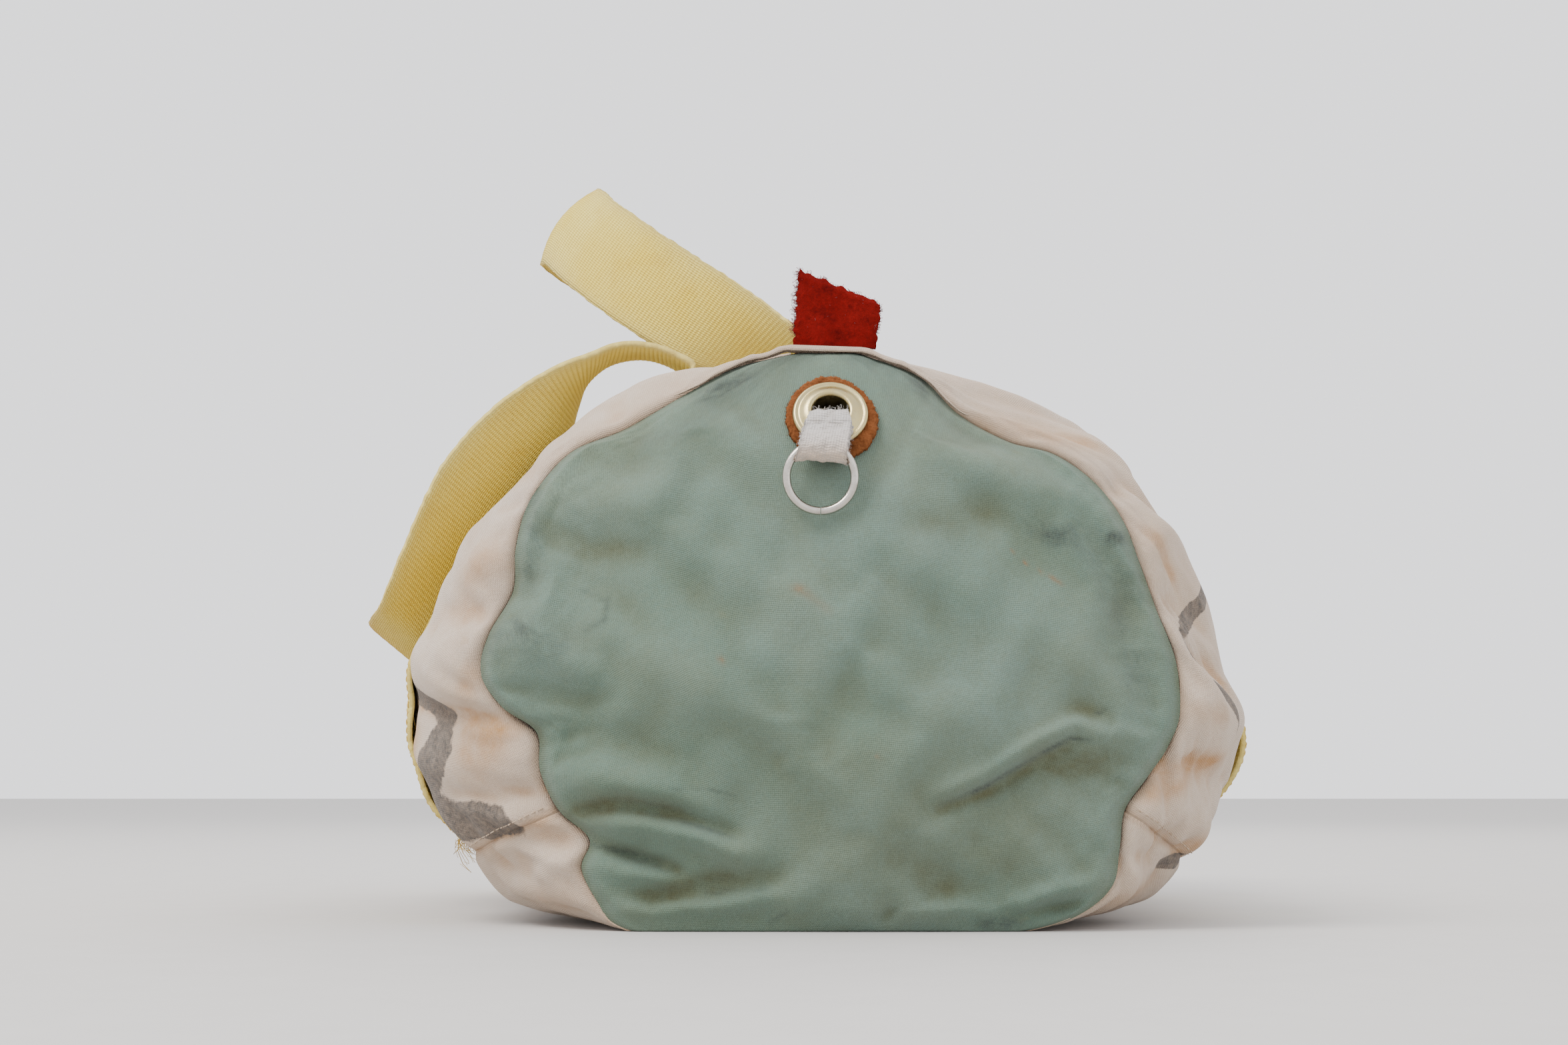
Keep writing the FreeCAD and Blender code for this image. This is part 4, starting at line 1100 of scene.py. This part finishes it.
def tab_foot(end, end_name):
    """The tab's sewn foot: a soft suede pad over the zip's end, with two rows of stitches across it."""
    v, u = np.meshgrid(np.linspace(0, 1, 40), np.linspace(0, 1, 60), indexing="ij")
    low, high = box_in_mm(f"{end_name}_tab_base")
    low[1], high[1] = (low[1] + 2.2, high[1]) if end < 0 else (low[1], high[1] - 2.2)
    width, length = high[0] - low[0], high[1] - low[1]
    rim = np.minimum.reduce([u * width, (1 - u) * width, v * length, (1 - v) * length])
    x = low[0] + u * width + 0.35 * waves(v * 12, u, 5, 51) * np.exp(-rim)
    y = low[1] + v * length
    z = high[2] - 0.9 * np.exp(-rim / 0.7) + 0.25 * waves(x, y, 8, 52)
    grid = np.stack([x, y, z], -1)
    out = facing(grid, 2)
    piece = add_sheet(f"{end_name}_tab_foot", grid, out, (high[2] - low[2]) * 0.55, RED)
    settle(piece, "bag", "red_suede", f"{end_name}_tab_base")
    patch = Patch(grid, out)
    rows = [patch.line((0.22, 0.22), (0.07, 0.93), 0.1), patch.line((0.78, 0.78), (0.07, 0.93), 0.1)]
    stitches = add_stitches(f"{end_name}_tab_stitches", rows, RED_THREAD, 2.2, 0.8, 0.26)
    settle(stitches, "bag", "red_suede")


for end, end_name in ((-1, "front"), (1, "rear")):
    tab(end, end_name)
    tab_foot(end, end_name)

# ---------------------------------------------------------------- grommet's leather, cotton loop

GROMMET_AT = np.array(GROMMET_CENTRE)
GROMMET_OUT = unit(np.array(GROMMET_NORMAL))
GROMMET_UP = unit(np.cross(GROMMET_OUT, [1, 0, 0]))


def on_grommet(right, up, away):
    """A point from its distances to the grommet's centre: right, up the panel and out of it."""
    right, up, away = (part[..., None] for part in np.broadcast_arrays(right, up, away))
    return GROMMET_AT + right * np.array([1.0, 0, 0]) + up * GROMMET_UP + away * GROMMET_OUT


def leather_washer():
    """Hand-cut disc of suede-side leather under the grommet, widest at the lower right."""
    cut = [(0, 19.2), (27, 18.0), (58, 18.2), (90, 19.6), (130, 18.6), (148, 18.2), (180, 18.0),
           (214, 18.7), (226, 19.3), (270, 19.8), (307, 21.2), (329, 20.3), (360, 19.2)]
    count = 260
    angle = np.linspace(0, math.tau, count)
    rim = follow(cut, np.degrees(angle))[:, 0] - 0.2
    ragged = 0.16 * np.sin(angle * 37) + 0.14 * np.sin(angle * 61 + 1) + 0.2 * np.sin(angle * 17 + 2)
    share = np.linspace(0, 1, 34)
    r = GROMMET_BORE + (rim + ragged - GROMMET_BORE)[None, :] * share[:, None]
    right, up = r * np.cos(angle), r * np.sin(angle)
    nap = 0.16 * waves(right, up, 1.6, 71) + 0.2 * waves(right, up, 6, 72)
    drop = 1.0 * np.exp(-(((1 - share) * 14) ** 2))[:, None]
    grid = on_grommet(right, up, 2.1 + nap - drop)
    grid[:, -1] = grid[:, 0]
    out = np.broadcast_to(GROMMET_OUT, grid.shape).copy()
    piece = add_sheet("leather_disc", grid, out, 1.7, BROWN)
    settle(piece, "bag", "brown_leather", "leather_washer")
    random = np.random.default_rng(8)
    picks = random.integers(0, count, 420)
    roots = grid[-1, picks] - GROMMET_OUT * random.uniform(0, 1.2, (420, 1))
    away = unit(grid[-1, picks] - GROMMET_AT) + random.normal(0, 0.5, (420, 3))
    tips = roots + unit(away) * random.uniform(0.3, 0.9, (420, 1))
    settle(add_fibres("leather_fuzz", roots, tips, BROWN, 0.07, 0.3), "bag", "brown_leather")


def taped(name, path, half, thickness, body, node, warm, flare=0.0, skew=0.0, seed=1):
    """Cotton tape along a path of points, with half widths and warmth along it.
    Its edges droop by 'flare' mm where it is warm, and its upper part moves right by 'skew' mm."""
    path = np.asarray(path, float)
    run = run_along(path)
    at = np.linspace(0, run[-1], 110)
    line = follow(np.column_stack([run, path]), at)
    widths = np.interp(at, run, half)
    shade = np.interp(at, run, warm)
    along = unit(np.gradient(line, axis=0))
    out = np.cross(np.array([1.0, 0, 0]), along)
    line[:, 0] += skew * np.clip((line[:, 2] - line[:, 2].min()) / 15, 0, 1)
    v = np.linspace(-1, 1, 40)
    ragged = 0.22 * waves(at[:, None], v[None, :], 2.2, seed) * np.abs(v) ** 12
    x = v[None, :] * widths[:, None] + np.sign(v) * ragged
    crease = 0.22 * waves(at[:, None], x, 6, seed + 1) + 0.12 * waves(at[:, None] * 3, x, 5, seed + 2)
    raised = (thickness / 2 + crease)[..., None]
    grid = line[:, None] + x[..., None] * np.array([1.0, 0, 0]) + out[:, None] * raised
    drop = flare * np.abs(v[None, :]) ** 6 * shade[:, None]
    grid[..., 2] -= drop + (0.07 * x) * shade[:, None]
    out_grid = np.repeat(out[:, None], len(v), 1)
    marks = {"warm": np.broadcast_to(shade[:, None], x.shape)}
    piece = add_sheet(name, grid, out_grid, thickness, COTTON, marks)
    return settle(piece, body, "cotton_tape", node), grid


# The loop's tail as (up the panel, out of it), and its half widths from the outer end inwards.
TAIL_PATH = [(-3.6, -9.0), (-2.2, -4), (-1.4, 1), (-1.2, 5), (-2.4, 7.8), (-5.2, 9.1), (-8.0, 9.3),
             (-9.6, 8.6)]
TAIL_HALF_WIDTHS = [9.2, 9.1, 8.2, 7.2, 6.4, 6.0, 6.0, 6.0]


def cotton_loop():
    """The loop's two plies round the ring, and the tail that goes in through the grommet."""
    knuckle, eye = np.array(LOOP_HINGE[1:]), np.array(LOOP_EYE)
    path = []
    for angle in np.radians(np.linspace(70, 168, 6)):
        path.append(knuckle + 1.0 * np.array([math.cos(angle), math.sin(angle)]))
    for angle in np.radians(np.linspace(158, 372, 16)):
        path.append(eye + 4.75 * np.array([math.cos(angle), math.sin(angle)]))
    path.append(knuckle + np.array([1.0, -0.9]))
    points = [(RING_X, y, z) for y, z in path]
    count = len(points)
    half = [9.2] * 5 + list(np.linspace(9.4, 10.1, 8)) + [10.1] * (count - 13)
    warm = [0] * 6 + list(np.linspace(0.25, 1, 5)) + [1] * 7 + list(np.linspace(1, 0, count - 18))
    _, grid = taped("cotton_loop_tape", points[::-1], half[::-1], 1.1, "loop", "ring_loop", warm[::-1],
                    1.0, 3.2, 81)
    tail = np.array([on_grommet(0.0, up, away) for up, away in TAIL_PATH])
    tail[:, 0] = np.linspace(1.0, 0.0, len(tail))
    _, tail_grid = taped("cotton_tail_tape", tail[::-1], TAIL_HALF_WIDTHS, 1.3, "bag", "loop_tail",
                         [0] * len(tail), seed=85)
    random = np.random.default_rng(6)
    picks = random.integers(0, tail_grid.shape[1], 90)
    rows = random.integers(30, 70, 90)
    roots = tail_grid[rows, picks]
    away = unit(GROMMET_UP * 0.8 + GROMMET_OUT * 0.4 + random.normal(0, 0.6, (90, 3)))
    tips = roots + away * random.uniform(0.6, 2.2, (90, 1))
    settle(add_fibres("loop_frays", roots, tips, COTTON, 0.08, 0.35), "bag", "cotton_tape")
    sides = random.choice([0, 39], 120)
    rows = random.integers(4, 104, 120)
    roots = grid[rows, sides]
    sideways = np.where(sides == 0, -1.0, 1.0)
    away = unit(np.stack([sideways, random.normal(0, 0.5, 120), random.normal(0, 0.5, 120)], -1))
    tips = roots + away * random.uniform(0.3, 1.1, (120, 1))
    settle(add_fibres("loop_fuzz", roots, tips, COTTON, 0.07, 0.3), "loop", "cotton_tape")


leather_washer()
cotton_loop()

# ---------------------------------------------------------------- zip tapes

def zip_tape(name):
    """One zip tape's woven face, raised beside the teeth."""
    low, high = box_in_mm(f"{name}_zip_tape")
    v, u = np.meshgrid(np.linspace(0, 1, 260), np.linspace(0, 1, 14), indexing="ij")
    x = low[0] + u * (high[0] - low[0])
    y = low[1] + v * (high[1] - low[1])
    inner = np.abs(np.abs(x) - 3)
    z = high[2] + 0.3 * np.exp(-inner) + 0.12 * waves(x, y, 26, 66) * np.clip(inner / 6, 0, 1)
    grid = np.stack([x, y, z], -1)
    marks = {"warm": np.full(x.shape, 0.5)}
    cloth = add_sheet(f"{name}_zip_cloth", grid, facing(grid, 2), 0.8, TAPE, marks)
    settle(cloth, "bag", "zip_tape", f"{name}_zip_tape")


zip_tape("left")
zip_tape("right")

# ---------------------------------------------------------------- floor, light and camera

def add_light(name, place, target, size, power, colour):
    data = bpy.data.lights.new(name, "AREA")
    data.shape = "RECTANGLE"
    data.size, data.size_y = size
    data.energy = power
    data.color = colour
    lamp = bpy.data.objects.new(name, data)
    lamp.location = place
    lamp.rotation_euler = (Vector(target) - Vector(place)).to_track_quat("-Z", "Y").to_euler()
    bpy.context.scene.collection.objects.link(lamp)


def studio():
    g = Graph("pale_floor")
    grain = g.noise(g.place(), 40.0, 4.0)
    pale = g.finish(g.mix(grain, (0.50, 0.485, 0.47), (0.54, 0.525, 0.51)), 0.8)
    corners = [(-6000, -6000, -0.2), (6000, -6000, -0.2), (6000, 9000, -0.2), (-6000, 9000, -0.2)]
    add_mesh("floor", corners, [(0, 1, 2, 3)], pale)
    world = bpy.data.worlds.new("studio")
    bpy.context.scene.world = world
    world.use_nodes = True
    sky = world.node_tree.nodes["Background"]
    sky.inputs["Color"].default_value = (0.88, 0.88, 0.90, 1)
    sky.inputs["Strength"].default_value = 1.95
    add_light("key", (-1.3, -1.1, 2.3), (0, 0, 0.1), (1.2, 1.2), 78, (1.0, 0.97, 0.93))
    add_light("fill", (1.8, -1.2, 0.9), (0, 0, 0.1), (1.6, 1.6), 4, (0.93, 0.96, 1.0))
    add_light("back", (0.4, 1.6, 1.6), (0, 0, 0.2), (1.4, 1.0), 16, (1.0, 0.98, 0.95))


def camera():
    data = bpy.data.cameras.new("camera")
    data.sensor_width = 36
    data.lens = 54
    eye = bpy.data.objects.new("camera", data)
    eye.location = (-17.6 * MM, -1149.5 * MM, 57.4 * MM)
    eye.rotation_euler = (math.radians(90 + 6.375), 0, 0)
    bpy.context.scene.collection.objects.link(eye)
    bpy.context.scene.camera = eye


studio()
camera()
